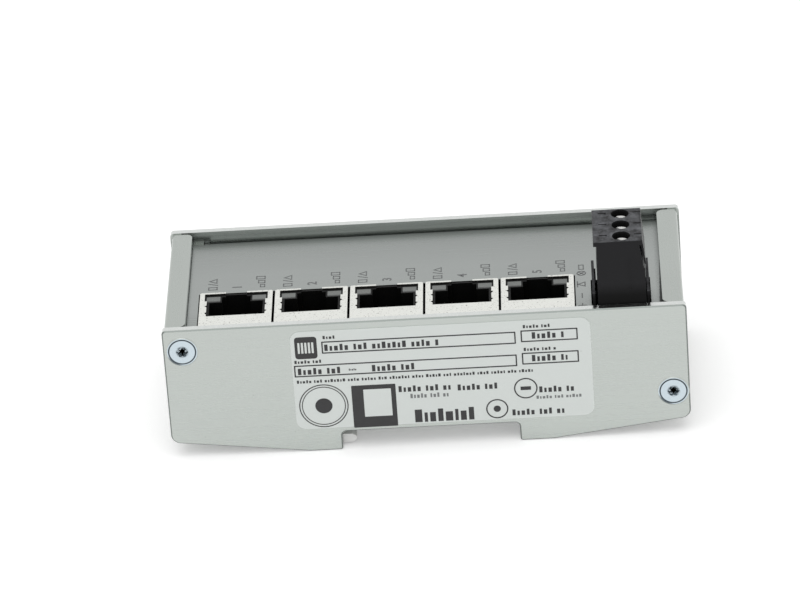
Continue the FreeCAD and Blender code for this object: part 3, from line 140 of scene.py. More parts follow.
class HousingSettings(bpy.types.PropertyGroup):
    panel: colour("Panels", "Metal of the two side panels", tone(186, 191, 187))
    frame: colour("Frame", "Metal of the folded frame", tone(175, 180, 176))
    plate: colour("Port plate", "Metal of the recessed plate", tone(157, 161, 159))
    edge: colour("Cut edges", "Bare metal of the cut edges", tone(212, 215, 213))
    panel_gloss: share("Panel roughness", "Roughness of the panels and the frame", 0.28)
    plate_gloss: share("Plate roughness", "Roughness of the plate", 0.23)


class ScrewSettings(bpy.types.PropertyGroup):
    zinc: colour("Case screws", "Bright zinc of the case screws", tone(197, 209, 216))
    dark: colour("Screw recess", "Dark lines and sockets of the screws", tone(30, 40, 46))
    cup_radius: length("Cup radius", "Outer radius of the cup round a screw", 3.55 * MM)
    cup_slope: length("Cup slope", "Width of the cup's outer slope", 0.2 * MM)
    cup_height: length("Cup height", "Crest of the cup above the panel", 0.18 * MM)
    face_radius: length("Face radius", "Radius of the screw's flat face", 2.9 * MM)
    reach: length("Reach", "Screw below the panel's face", 5.0 * MM)


class LabelSettings(bpy.types.PropertyGroup):
    film: colour("Film", "White film of the rating label", tone(221, 226, 223))
    ink: colour("Ink", "Print on the film", tone(45, 45, 46))
    faint_ink: colour("Faint ink", "Grey print on the film", tone(120, 123, 123))
    ink_height: length("Ink height", "Print above the film", 0.02 * MM)
    frame_line: length("Frame line", "Line width of the printed frames", 0.3 * MM)
    corner: length("Frame corner", "Corner radius of the printed frames", 0.15 * MM)


class LegendSettings(bpy.types.PropertyGroup):
    ink: colour("Legend ink", "Grey print on the plate", tone(96, 98, 98))
    height: length("Legend height", "Height of the digits and marks", 2.15 * MM)
    thickness: length("Legend thickness", "Print above the plate", 0.02 * MM)
    stroke: length("Stroke", "Width of a printed stroke", 0.27 * MM)


class PortSettings(bpy.types.PropertyGroup):
    shield: colour("Shields", "Tin of the jack shields", tone(226, 227, 222))
    insert: colour("Inserts", "Moulding inside the jacks", tone(10, 10, 10))
    lens: colour("Lamp lenses", "Unlit lamps of the jacks", tone(104, 107, 105))
    contact: colour("Contacts", "Gilt spring wires", tone(214, 178, 96))


class TerminalSettings(bpy.types.PropertyGroup):
    plastic: colour("Terminal plastic", "Moulding of the header and plug", tone(27, 27, 29))
    steel: colour("Terminal steel", "Clamps and clamp screws", tone(246, 246, 244))
    tin: colour("Pin tin", "Tinned pins and contacts", tone(204, 202, 196))


class ClipSettings(bpy.types.PropertyGroup):
    hook: colour("Hook", "Moulding of the rail hook and the latch", tone(240, 240, 238))
    guide: colour("Guide", "Zinc plate of the latch guide", tone(178, 181, 184))
    spring: colour("Spring", "Wire of the latch spring", tone(150, 152, 156))
    rivet: colour("Rivets", "Rivets of the rail clip", tone(196, 197, 198))
    squeeze: share("Squeeze", "Share of the spring's length that is left with the latch pulled", 0.58)


class ElectronicsSettings(bpy.types.PropertyGroup):
    board: colour("Board", "Solder resist of the board", tone(24, 92, 50))
    track: colour("Tracks", "Resist over the copper tracks", tone(44, 124, 70))
    brass: colour("Posts", "Board posts", tone(206, 172, 96))
    steel: colour("Board screws", "Screws of the board", tone(202, 202, 198))
    package: colour("Packages", "Moulded packages", tone(38, 38, 40))
    ferrite: colour("Ferrite", "Core of the inductor", tone(74, 74, 78))
    can: colour("Cans", "Drawn metal cans", tone(212, 212, 212))


# ---------------------------------------------------------------- shader nodes

class Flow:
    """A socket's value on its way through a node tree, so that sums on it read as sums."""

    def __init__(self, tree, socket):
        self.tree, self.socket = tree, socket

    def math(self, operation, *others):
        return flow(node(self.tree, "Math", enumerate((self, *others)), operation=operation))

    def __add__(self, other):
        return self.math("ADD", other)

    def __sub__(self, other):
        return self.math("SUBTRACT", other)

    def __mul__(self, other):
        return self.math("MULTIPLY", other)

    def __lt__(self, other):
        return self.math("LESS_THAN", other)

    def __gt__(self, other):
        return self.math("GREATER_THAN", other)

    def __rsub__(self, other):
        return flow(node(self.tree, "Math", {0: other, 1: self}, operation="SUBTRACT"))

    def __abs__(self):
        return self.math("ABSOLUTE")

    def held(self):
        """The same sum, held between 0 and 1."""
        self.socket.node.use_clamp = True
        return self

    def part(self, axis):
        return flow(node(self.tree, "SeparateXYZ", {0: self}), axis)

    def vector(self, operation, other=(0, 0, 0), output=0):
        return flow(node(self.tree, "VectorMath", {0: self, 1: other}, operation=operation), output)


def node(tree, kind, inputs=(), **settings):
    """Adds a node, sets it up and returns it. An input is a plain value or a flow."""
    made = tree.nodes.new("ShaderNode" + kind)
    for name, value in settings.items():
        setattr(made, name, value)
    for name, value in dict(inputs).items():
        if isinstance(value, Flow):
            tree.links.new(value.socket, made.inputs[name])
        else:
            made.inputs[name].default_value = value
    return made


def flow(made, output=0):
    return Flow(made.id_data, made.outputs[output])


def object_place(tree):
    return flow(node(tree, "TexCoord"), "Object")


def normal_at(place):
    return flow(node(place.tree, "NewGeometry"), "Normal")


def spread(value, low, high, start=0.0, end=1.0):
    """The value from low to high, laid over start to end and held there."""
    inputs = {"Value": value, "From Min": low, "From Max": high, "To Min": start, "To Max": end}
    return flow(node(value.tree, "MapRange", inputs))


def blend_colours(mask, first, second):
    return flow(node(mask.tree, "Mix", {0: mask, 6: first, 7: second}, data_type="RGBA"), 2)


def blend_values(mask, first, second):
    return flow(node(mask.tree, "Mix", {0: mask, 2: first, 3: second}, data_type="FLOAT"))


def shade(base, factor):
    """A colour or a vector made smaller or larger by a factor. One of the two is a flow."""
    tree = (factor if isinstance(factor, Flow) else base).tree
    return flow(node(tree, "VectorMath", {0: base, "Scale": factor}, operation="SCALE"))


def covered(mask, given, roughness=None):
    """A layer's tint, and its own roughness if it has one, laid over what a mask picks."""
    rough = given["Roughness"]
    if roughness is not None:
        rough = blend_values(mask, rough, roughness)
    return blend_colours(mask, given["Colour"], given["Tint"]), rough, given["Height"]


def noise(place, scale, detail=2.0, rough=0.5):
    """Noise from 0 to 1. The scale is per metre, or a flow or vector for stretched grain."""
    if not isinstance(scale, (int, float)):
        place, scale = place.vector("MULTIPLY", scale), 1.0
    inputs = {"Vector": place, "Scale": scale, "Detail": detail, "Roughness": rough}
    return flow(node(place.tree, "TexNoise", inputs))


def new_layer(name, inputs, build):
    """A layer of finish: a node group from colour, roughness and height to the same three."""
    passed = {"Colour": (0.5, 0.5, 0.5, 1), "Roughness": 0.5, "Height": 0.0}
    group = bpy.data.node_groups.new(name, "ShaderNodeTree")

    def socket(label, in_out, default):
        size = len(default) if isinstance(default, tuple) else 1
        kind = {1: "Float", 3: "Vector", 4: "Color"}[size]
        return group.interface.new_socket(name=label, in_out=in_out, socket_type="NodeSocket" + kind)

    for label, default in {**passed, **inputs}.items():
        socket(label, "INPUT", default).default_value = default
    for label, default in passed.items():
        socket(label, "OUTPUT", default)
    entry = group.nodes.new("NodeGroupInput")
    given = {label: flow(entry, label) for label in {**passed, **inputs}}
    result = group.nodes.new("NodeGroupOutput").inputs
    for label, value in zip(passed, build(object_place(group), given)):
        group.links.new(value.socket, result[label])


def rolled_grain(place, given):
    """Fine streaks left by rolling and brushing, long one way and thin the other."""
    fine = noise(place, given["Grain"], 3.0, 0.6) + noise(place, shade(given["Grain"], 0.28))
    swing = fine * 0.5 - 0.5
    cloud = noise(place, 55.0) - 0.5
    factor = swing * given["Contrast"] + cloud * given["Cloud"] + 1.0
    return (shade(given["Colour"], factor), (given["Roughness"] + swing * 0.22).held(),
            given["Height"] + swing * given["Relief"])


def specks(place, given):
    """Tiny pits and dust specks, scattered singly."""
    inputs = {"Vector": place, "Scale": given["Density"], "Randomness": 1.0}
    cells = node(place.tree, "TexVoronoi", inputs)
    near = spread(flow(cells, "Distance"), 0.06, 0.12, 1.0, 0.0)
    picked = flow(node(place.tree, "SeparateColor", {0: flow(cells, "Color")}))
    mask = near * (picked < given["Amount"])
    return (blend_colours(mask * given["Strength"], given["Colour"], given["Tint"]),
            given["Roughness"], given["Height"] - mask * 0.3)


def cut_edge(place, given):
    """Metal that doesn't look along the sheet's normal: cut or rounded edges, with marks of shearing. It
    gives bare cut edges their metal, and it also paints shade on rounded corners.
    """
    squarely = abs(normal_at(place).vector("DOT_PRODUCT", given["Sheet"], "Value"))
    mask = spread(squarely, given["From"], given["From"] + 0.1, 1.0, 0.0)
    shear = noise(place, (1400.0, 700.0, 1400.0)) - 0.5
    tint = shade(given["Tint"], shear * 0.16 + 1.0)
    polish = (given["Polish"] + shear * 0.1).held()
    return (blend_colours(mask, given["Colour"], tint), blend_values(mask, given["Roughness"], polish),
            given["Height"] + shear * mask * 0.6)


def moulded_grain(place, given):
    """The fine eroded texture of a moulded part, with faint flow clouds."""
    grain = noise(place, given["Density"], 3.0, 0.65) - 0.5
    cloud = noise(place, 160.0) - 0.5
    factor = cloud * given["Cloud"] + grain * given["Cloud"] + 1.0
    return (shade(given["Colour"], factor), (given["Roughness"] + grain * 0.3).held(),
            given["Height"] + grain * given["Relief"])


def plating(place, given):
    """Plated metal: cloudy, slightly mottled tone with fine scratches."""
    cloud = noise(place, given["Density"], 3.0, 0.6) - 0.5
    lines = spread(noise(place, (9000.0, 900.0, 2500.0)), 0.62, 0.7)
    return (shade(given["Colour"], cloud * given["Mottle"] + 1.0),
            (given["Roughness"] + (cloud * 0.3 + lines * 0.12)).held(),
            given["Height"] - lines * given["Relief"])


def recess(place, given):
    """Painted shade that gathers from one level to another along an axis."""
    ragged = (noise(place, 2600.0) - 0.5) * (0.4 * MM)
    along = place.vector("DOT_PRODUCT", given["Axis"], "Value") + ragged
    mask = spread(along, given["Start"], given["End"]) * given["Strength"]
    return covered(mask, given, given["Dulled"])


def bore_shade(place, given):
    """The dark inside of a row of upright bores, a pitch apart along Y, below the plug's top."""
    offset = place.vector("SUBTRACT", given["Centre"])
    half = given["Pitch"] * 0.5
    x, y = offset.part(0), offset.part(1).math("WRAP", half, half * -1.0)
    reach = (x * x + y * y).math("SQRT")
    depth = given["Depth"]
    below_top = spread(place.part(2), PLUG_HIGH.z - depth, PLUG_HIGH.z - depth * 4.0)
    mask = below_top * (reach < given["Radius"])
    return covered(mask, given, 0.8)


def screw_head(place, given):
    """Zinc by the distance from two screw axes: painted cup, a rim line of painted shadow, blotched
    socket, and painted shade on one side of the cone.
    """
    reach = side = None
    for name in ("First", "Second"):
        flat = place.vector("SUBTRACT", given[name]).vector("MULTIPLY", (1, 0, 1))
        radius = flat.vector("LENGTH", output="Value")
        lean = flat.vector("NORMALIZE").vector("DOT_PRODUCT", (-0.62, 0, -0.78), "Value")
        if reach is None:
            reach, side = radius, lean
        else:
            side = blend_values(radius < reach, side, lean)
            reach = reach.math("MINIMUM", radius)
    blots = noise(place, 1500.0, 3.0, 0.6)
    # Painted shadow in a thin ring round the head's face, and painted shade on one side of the cone.
    rim_shadow = spread(abs(reach - (given["Face"] + 0.06 * MM)), 0.12 * MM, 0.2 * MM, 0.9, 0.0)
    cone_shade = (reach > given["Face"]) * spread(side, 0.78, 0.95)
    ragged_edge = reach + (blots - 0.5) * (1.2 * MM)
    inside = spread(ragged_edge, 1.1 * MM, 1.5 * MM, 1.0, 0.0) * spread(reach, 0.2 * MM, 0.45 * MM)
    socket = inside * spread(blots, 0.38, 0.52, 0.25, 0.95)
    mask = rim_shadow.math("MAXIMUM", socket).math("MAXIMUM", cone_shade * 0.8)
    tinted = blend_colours(mask, given["Colour"], given["Tint"])
    painted = spread(reach, given["Cup"] - 0.1 * MM, given["Cup"])
    return (blend_colours(painted, tinted, given["Paint"]),
            blend_values(painted, given["Roughness"], 0.3), given["Height"])


def inner_shade(place, given):
    """Shade on the inner faces of a pair of walls that face each other along Y, between two heights."""
    inner = place.part(1) * normal_at(place).part(1) < -0.01
    mask = inner * spread(place.part(2), given["Start"], given["End"]) * given["Strength"]
    return covered(mask, given)


def settled_dust(place, given):
    """A thin, patchy veil of dust on faces that look up."""
    patch = spread(noise(place, 420.0, 4.0, 0.7), 0.38, 0.72)
    mask = spread(normal_at(place).part(2), 0.5, 0.95) * (patch * given["Amount"])
    return covered(mask, given, 0.75)


def board_tracks(place, given):
    """Copper tracks under the resist of a board, in rows with offset breaks."""
    inputs = {"Vector": place, "Scale": 260.0, "Mortar Size": 0.012, "Brick Width": 1.6,
              "Row Height": 0.3}
    lines = flow(node(place.tree, "TexBrick", inputs), "Fac")
    mask = lines * spread(noise(place, 90.0, 1.0), 0.45, 0.5)
    tinted, rough, height = covered(mask, given)
    return tinted, rough, height + mask


def build_layers():
    """Makes the shared finish layers once, each with its inputs' defaults."""
    white, dark, none = (1, 1, 1, 1), (0.1, 0.1, 0.1, 1), (0, 0, 0)
    recipes = {
        "Rolled grain": (rolled_grain, {"Grain": (60.0, 4200.0, 4200.0), "Contrast": 0.08, "Cloud": 0.04,
                                        "Relief": 1.0}),
        "Specks": (specks, {"Density": 900.0, "Amount": 0.06, "Strength": 0.4, "Tint": dark}),
        "Cut edge and corner shade": (cut_edge, {"Sheet": (0, 1, 0), "Tint": white, "Polish": 0.18, "From": 0.45}),
        "Moulded grain": (moulded_grain, {"Density": 9000.0, "Cloud": 0.12, "Relief": 1.0}),
        "Plating": (plating, {"Density": 900.0, "Mottle": 0.12, "Relief": 0.5}),
        "Recess shade": (recess, {"Axis": (0, 0, 1), "Start": 0.0, "End": MM, "Strength": 1.0, "Dulled": 0.5,
                            "Tint": dark}),
        "Bore shade": (bore_shade, {"Centre": none, "Pitch": 5 * MM, "Radius": 2 * MM, "Depth": 0.2 * MM,
                                    "Tint": (0.001, 0.001, 0.001, 1)}),
        "Screw head": (screw_head, {"First": none, "Second": none, "Face": 2.9 * MM, "Cup": 3.4 * MM,
                                    "Tint": dark, "Paint": white}),
        "Inner shade": (inner_shade, {"Start": 30 * MM, "End": 20 * MM, "Strength": 0.5, "Tint": dark}),
        "Settled dust": (settled_dust, {"Amount": 0.2, "Tint": (0.5, 0.5, 0.48, 1)}),
        "Board tracks": (board_tracks, {"Tint": (0.1, 0.4, 0.2, 1)}),
    }
    for name, (build, inputs) in recipes.items():
        if name not in bpy.data.node_groups:
            new_layer(name, inputs, build)


def rolled(grain, contrast, cloud=0.04):
    return "Rolled grain", {"Grain": grain, "Contrast": contrast, "Cloud": cloud}


def specked(density, amount, strength, tint):
    return "Specks", {"Density": density, "Amount": amount, "Strength": strength, "Tint": tint}


def edged(start, tint, polish):
    return "Cut edge and corner shade", {"From": start, "Tint": tint, "Polish": polish}


def moulded(density, cloud, relief=1.0):
    return "Moulded grain", {"Density": density, "Cloud": cloud, "Relief": relief}


def plated(density, mottle):
    return "Plating", {"Density": density, "Mottle": mottle}


def beyond(axis, start, end, strength, tint, dulled=0.5):
    """Shade that sets in from start to end along an axis, in millimetres."""
    return "Recess shade", {"Axis": axis, "Start": start * MM, "End": end * MM, "Strength": strength,
                      "Dulled": dulled, "Tint": tint}


def below(start, end, strength, tint, dulled=0.5):
    """Shade that sets in from one height down to another, in millimetres."""
    return beyond((0, 0, -1), -start, -end, strength, tint, dulled)


def dusty(amount, tint):
    return "Settled dust", {"Amount": amount, "Tint": tint}


def finish(name, base, roughness, *layers, bump, on=(), **shader):
    """A material: a base colour through finish layers into one Principled shader, given to nodes.

    The bump's height is in millimetres.
    """
    build_layers()
    material = bpy.data.materials.new(name)
    material.use_nodes = True
    tree = material.node_tree
    principled = tree.nodes["Principled BSDF"]
    passed = {"Colour": (*base, 1), "Roughness": roughness}
    for group, values in layers:
        layer = node(tree, "Group", passed, node_tree=bpy.data.node_groups[group])
        for label, value in values.items():
            layer.inputs[label].default_value = (*value, 1) if label in ("Tint", "Paint") else value
        passed = {label: flow(layer, label) for label in ("Colour", "Roughness", "Height")}
    relief = node(tree, "Bump", {"Height": passed["Height"], "Distance": bump * MM, "Strength": 1.0})
    for value, label in ((passed["Colour"], "Base Color"), (passed["Roughness"], "Roughness"),
                         (flow(relief), "Normal")):
        tree.links.new(value.socket, principled.inputs[label])
    for label, value in shader.items():
        principled.inputs[label.replace("_", " ")].default_value = value
    for piece in on:
        dress(frame["nodes"][piece], material)
    return material


def dress(piece, material):
    piece.data.materials.clear()
    piece.data.materials.append(material)


# ---------------------------------------------------------------- modelling

def deselect():
    if bpy.context.mode != "OBJECT":
        bpy.ops.object.mode_set(mode="OBJECT")
    bpy.ops.object.select_all(action="DESELECT")


def pick(*objects):
    deselect()
    for thing in objects:
        thing.select_set(True)
    bpy.context.view_layer.objects.active = objects[0]


def lift(height):
    """Draws the selected faces out along Z."""
    bpy.ops.mesh.extrude_region_move(TRANSFORM_OT_translate={"value": (0, 0, height)})


def turn_outward():
    """Turns the faces of the mesh in edit mode outward and leaves edit mode."""
    bpy.ops.mesh.select_all(action="SELECT")
    bpy.ops.mesh.normals_make_consistent(inside=False)
    bpy.ops.object.mode_set(mode="OBJECT")


class Print:
    """A sheet of printed marks, drawn flat in millimetres and then raised to the ink's thickness."""

    def __init__(self, name):
        deselect()
        bpy.ops.mesh.primitive_plane_add(size=1, location=(0, 0, 0))
        self.object = bpy.context.active_object
        self.object.name = name
        self.object.data.name = name
        bpy.ops.object.mode_set(mode="EDIT")
        bpy.ops.mesh.select_mode(type="FACE")
        bpy.ops.mesh.select_all(action="SELECT")
        bpy.ops.mesh.delete(type="VERT")

    def block(self, left, right, low, high, corner=0.0, turn=0.0):
        """A filled rectangle, its corners rounded and itself turned if asked."""
        centre = ((left + right) / 2, (low + high) / 2, 0)
        bpy.ops.mesh.primitive_plane_add(size=1, location=centre)
        bpy.ops.transform.resize(value=(right - left, high - low, 1), center_override=centre)
        if corner:
            bpy.ops.mesh.bevel(offset=corner, segments=4, affect="VERTICES")
        if turn:
            bpy.ops.transform.rotate(value=-turn, orient_axis="Z", center_override=centre)

    def frame(self, left, right, low, high, line, corner):
        """A rectangular frame with rounded corners."""
        self.block(left, right, low, high, corner)
        self.hollow(line)

    def disc(self, x, y, radius, vertices=40):
        bpy.ops.mesh.primitive_circle_add(vertices=vertices, radius=radius, fill_type="NGON",
                                          location=(x, y, 0))

    def ring(self, x, y, radius, line, vertices=48):
        self.disc(x, y, radius, vertices)
        self.hollow(line)

    def hollow(self, line):
        bpy.ops.mesh.select_mode(type="FACE")
        bpy.ops.mesh.inset(thickness=line, depth=0)
        bpy.ops.mesh.delete(type="FACE")

    def words(self, left, right, low, high, rhythm=(0.46, 0.34, 0.5, 0.4), gap=0.27, runs=(5, 3, 7, 4)):
        """A row of small plain blocks that fills the place of a line of type."""
        tall = high - low
        levels = (1.0, 0.74, 0.74, 1.0, 0.74, 0.9, 0.74)
        x, count, run, left_in_run = left, 0, 0, runs[0]
        while x < right - 0.25 * tall:
            width = min(rhythm[count % len(rhythm)] * tall, right - x)
            self.block(x, x + width, low, low + levels[count % len(levels)] * tall)
            x += width + gap * tall
            count += 1
            left_in_run -= 1
            if not left_in_run:
                run += 1
                left_in_run = runs[run % len(runs)]
                x += 0.5 * tall

    def raise_and_place(self, thickness, place, material):
        """Gives the marks their thickness and lays them where they belong."""
        bpy.ops.mesh.select_all(action="SELECT")
        lift(thickness / MM)
        turn_outward()
        settle(self.object, place, material)


def settle(piece, place, material):
    """Applies a piece's place to its mesh, gives it its finish and lets it ride on the switch."""
    pick(piece)
    piece.matrix_world = place @ Matrix.Scale(MM, 4)
    bpy.ops.object.transform_apply(location=True, rotation=True, scale=True)
    dress(piece, material)
    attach(piece, BODY)


def selected_corners(piece):
    """The corners selected in edit mode."""
    bpy.ops.object.mode_set(mode="OBJECT")
    found = [corner for corner in piece.data.vertices if corner.select]
    bpy.ops.object.mode_set(mode="EDIT")
    return found


def select_where(piece, kind, test):
    """Selects, in edit mode, the corners or faces that pass a test."""
    bpy.ops.mesh.select_mode(type=kind)
    bpy.ops.mesh.select_all(action="DESELECT")
    bpy.ops.object.mode_set(mode="OBJECT")
    for element in piece.data.vertices if kind == "VERT" else piece.data.polygons:
        element.select = test(element)
    bpy.ops.object.mode_set(mode="EDIT")


# ---------------------------------------------------------------- operators

class RAILSWITCH_OT_finish_housing(bpy.types.Operator):
    """Give the side panels, the folded frame and the port plate their brushed metal"""
    bl_idname = "railswitch.finish_housing"
    bl_label = "Finish Housing"

    def execute(self, context):
        values = context.scene.railswitch_housing
        dark, deep = tone(96, 100, 98), tone(44, 46, 45)
        top = PANEL_HIGH.z
        finish("Panel metal", values.panel, values.panel_gloss,
               rolled((70.0, 4200.0, 4200.0), 0.1, 0.05), specked(700.0, 0.05, 0.35, dark),
               # The darker tint is painted shade on the panels' rounded corners; the lighter one is the
               # bare metal of the cut edges.
               edged(0.87, tone(124, 129, 126), 0.42), edged(0.3, values.edge, 0.24),
               *(("Inner shade", {"Start": top - start * MM, "End": top - end * MM,
                                  "Strength": strength, "Tint": deep})
                 for start, end, strength in ((0.3, 1.8, 0.16), (1.85, 2.1, 0.2))),
               bump=0.004, on=("side_panel_label", "side_panel_back"), Metallic=1.0)
        finish("Frame metal", values.frame, values.panel_gloss,
               rolled((2600.0, 70.0, 2600.0), 0.07, 0.05), specked(700.0, 0.04, 0.3, dark),
               bump=0.004, on=("housing_frame",), Metallic=1.0)
        plate = finish("Plate metal", values.plate, values.plate_gloss,
                       rolled((70.0, 3800.0, 3800.0), 0.09, 0.06), specked(800.0, 0.04, 0.3, dark),
                       # Painted shade on the plate: towards the near and far panels, along the far and
                       # right-hand seams, and a dark wedge beside the right-hand flange.
                       beyond(NEAR, 11, 23, 0.3, dark), beyond(FAR, 4, 17, 0.16, dark),
                       beyond(FAR, 18.2, 19.9, 0.4, deep), beyond(RIGHT, 51.1, 52.7, 0.4, deep),
                       beyond(WEDGE, 52.22, 52.34, 0.8, tone(34, 35, 35)),
                       bump=0.004, on=("port_plate",), Metallic=1.0)
        self.add_infills(plate)
        return {"FINISHED"}

    def add_infills(self, metal):
        """The two folded tabs that close the far corners beside the plate's side."""
        shape = Print("corner_infills")
        top, y, depth = 29.45, 20.6, 1.7
        for left, right, low in ((-49.95, -48.55, 24.9), (48.55, 55.1, 27.0)):
            centre = ((left + right) / 2, y, (low + top) / 2)
            bpy.ops.mesh.select_all(action="DESELECT")
            bpy.ops.mesh.primitive_cube_add(size=1, location=centre)
            bpy.ops.transform.resize(value=(right - left, depth, top - low), center_override=centre)
            bpy.ops.mesh.bevel(offset=0.25, segments=3)
        bpy.ops.object.mode_set(mode="OBJECT")
        settle(shape.object, Matrix(), metal)


class RAILSWITCH_OT_add_case_screws(bpy.types.Operator):
    """Model the four flat-headed case screws, each in its shallow cup"""
    bl_idname = "railswitch.add_case_screws"
    bl_label = "Add Case Screws"

    def execute(self, context):
        values = context.scene.railswitch_screws
        paint = context.scene.railswitch_housing.panel
        spots = [Vector((x, 0, z)) for x, z in SCREW_SPOTS]
        zinc = finish("Bright zinc", values.zinc, 0.22, plated(1300.0, 0.1),
                      # The Screw head layer paints a shadow line round each head and shade on one side
                      # of its cone.
                      ("Screw head", {"First": spots[0], "Second": spots[1], "Face": values.face_radius,
                                      "Cup": values.cup_radius - values.cup_slope * 0.8,
                                      "Tint": values.dark, "Paint": paint}), bump=0.006, Metallic=1.0)
        first = self.model_screw(values)
        screws = [first]
        for _ in range(3):
            screws.append(first.copy())
            screws[-1].data = first.data.copy()
            context.collection.objects.link(screws[-1])
        sides = ((PANEL_LOW.y, Matrix()), (-PANEL_LOW.y, Matrix.Rotation(math.pi, 4, "Z")))
        places = [Matrix.Translation((spot.x, y, spot.z)) @ turn for y, turn in sides for spot in spots]
        for screw, place in zip(screws, places):
            settle(screw, place @ UPRIGHT, zinc)
        pick(*screws)
        bpy.ops.object.join()
        first.name = first.data.name = "cup_screws"
        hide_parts("case_screws")
        return {"FINISHED"}

    def model_screw(self, values):
        """One screw and its cup, drawn in millimetres on the panel's face with its axis along Z."""
        cup, rise, face = values.cup_radius / MM, values.cup_height / MM, values.face_radius / MM
        slope, foot, crest, groove, socket = values.cup_slope / MM, 0.03, 0.04, 0.06, 1.3
        deep, ledge, shank, chamfer = 0.9, 0.42, 1.5, 0.5
        shape = Print("cup_screws")
        shape.disc(0, 0, cup, 48)
        lift(foot)
        for inset, depth in ((slope, rise - foot), (crest, 0),
                             (cup - slope - crest - face - groove, 0.04 - rise), (0.03, 0), (0.03, 0.05),
                             (0.06, 0.03), (face - 0.06 - socket, 0)):
            bpy.ops.mesh.inset(thickness=inset, depth=depth)
        self.shape_lobes(shape.object)
        lift(-deep)
        bpy.ops.mesh.inset(thickness=ledge, depth=0)
        bpy.ops.mesh.inset(thickness=0.3, depth=0.5)
        select_where(shape.object, "FACE", lambda side: side.normal.z < -0.9 and side.center.z > -0.01)
        bpy.ops.mesh.inset(thickness=cup - shank, depth=0)
        lift(chamfer - values.reach / MM)
        bpy.ops.mesh.inset(thickness=0.35, depth=chamfer)
        turn_outward()
        return shape.object

    def shape_lobes(self, piece):
        """Turns the selected round face into a six-lobed one."""
        ring = {corner.index for corner in selected_corners(piece)}
        for level, factor in ((1, 1.038), (0.707, 0.996), (0, 0.892), (-0.707, 0.789), (-1, 0.746)):
            select_where(piece, "VERT", lambda corner: corner.index in ring and abs(
                math.cos(6 * math.atan2(corner.co.y, corner.co.x)) - level) < 0.1)
            bpy.ops.transform.resize(value=(factor, factor, 1), center_override=(0, 0, 0))
        select_where(piece, "VERT", lambda corner: corner.index in ring)
        bpy.ops.mesh.select_mode(type="FACE")


class RAILSWITCH_OT_finish_ports(bpy.types.Operator):
    """Give the five jacks their tinned shields, black inserts, lamps and gilt contacts"""
    bl_idname = "railswitch.finish_ports"
    bl_label = "Finish Ports"

    def execute(self, context):
        values = context.scene.railswitch_ports
        top, lamps = SHIELD_HIGH.z / MM, -middle("jack_1_lamps").y / MM
        finish("Tinned shield", values.shield, 0.3, plated(500.0, 0.06),
               specked(600.0, 0.03, 0.18, tone(150, 150, 146)),
               # Painted shade: the shields go dark below their top face.
               below(top - 0.04, top - 0.12, 0.94, tone(14, 14, 14)),
               bump=0.004, on=each_port("shield"), Metallic=1.0)
        finish("Insert moulding", values.insert, 0.5, moulded(7000.0, 0.15),
               dusty(0.01, tone(110, 108, 104)),
               bump=0.01, on=each_port("insert"), Specular_IOR_Level=0.12)
        finish("Lamp lens", values.lens, 0.22, moulded(2500.0, 0.06, 0.3),
               dusty(0.14, tone(150, 150, 147)),
               # Painted shade on the lenses, darker towards their near side.
               beyond(NEAR, lamps + 0.45, lamps + 0.95, 0.85, tone(24, 24, 24)),
               bump=0.006, on=each_port("lamps"), Specular_IOR_Level=0.3)
        finish("Gilt wire", values.contact, 0.22, plated(2000.0, 0.1),
               bump=0.003, on=each_port("contacts"), Metallic=1.0)
        return {"FINISHED"}


def each_port(piece):
    return [f"jack_{count}_{piece}" for count in range(1, len(PORTS) + 1)]


class RAILSWITCH_OT_finish_terminal(bpy.types.Operator):
    """Give the supply terminal its dark moulding and its plated metal"""
    bl_idname = "railswitch.finish_terminal"
    bl_label = "Finish Supply Terminal"

    def execute(self, context):
        values = context.scene.railswitch_terminal
        dust, black = tone(128, 130, 134), tone(4, 4, 4)
        # Painted shade inside the plug's three bores.
        bores = ("Bore shade", {"Centre": POLES[0], "Pitch": POLES[1].y - POLES[0].y,
                                "Radius": 2.1 * MM, "Depth": 0.15 * MM})
        screw_top = SCREW_TOP / MM
        poles = range(1, len(POLES) + 1)
        finish("Plug moulding", values.plastic, 0.42, moulded(5200.0, 0.16), dusty(0.6, dust),
               # Painted shade: the plug darkens towards its foot.
               below(37.2, 34.3, 0.94, black, 0.7), bores,
               bump=0.014, on=("terminal_plug",), Specular_IOR_Level=0.16)
        finish("Header moulding", values.plastic, 0.46, moulded(5200.0, 0.16),
               # Painted shade: the header darkens towards its foot.
               below(34.9, 33.8, 0.95, black, 0.7), dusty(0.34, dust),
               bump=0.014, on=("power_header",), Specular_IOR_Level=0.12)
        finish("Terminal steel", values.steel, 0.5, plated(1400.0, 0.1),
               # Painted shade on the clamps and screws below the screw tops.
               below(screw_top - 0.1, screw_top - 0.5, 0.85, tone(40, 40, 42)), bump=0.006,
               on=[f"{piece}_{pole}" for pole in poles for piece in ("terminal_screw", "wire_clamp")],
               Metallic=0.15)
        finish("Pin tin", values.tin, 0.3, plated(1800.0, 0.1),
               bump=0.004, on=("header_pins", "plug_contacts"), Metallic=1.0)
        return {"FINISHED"}


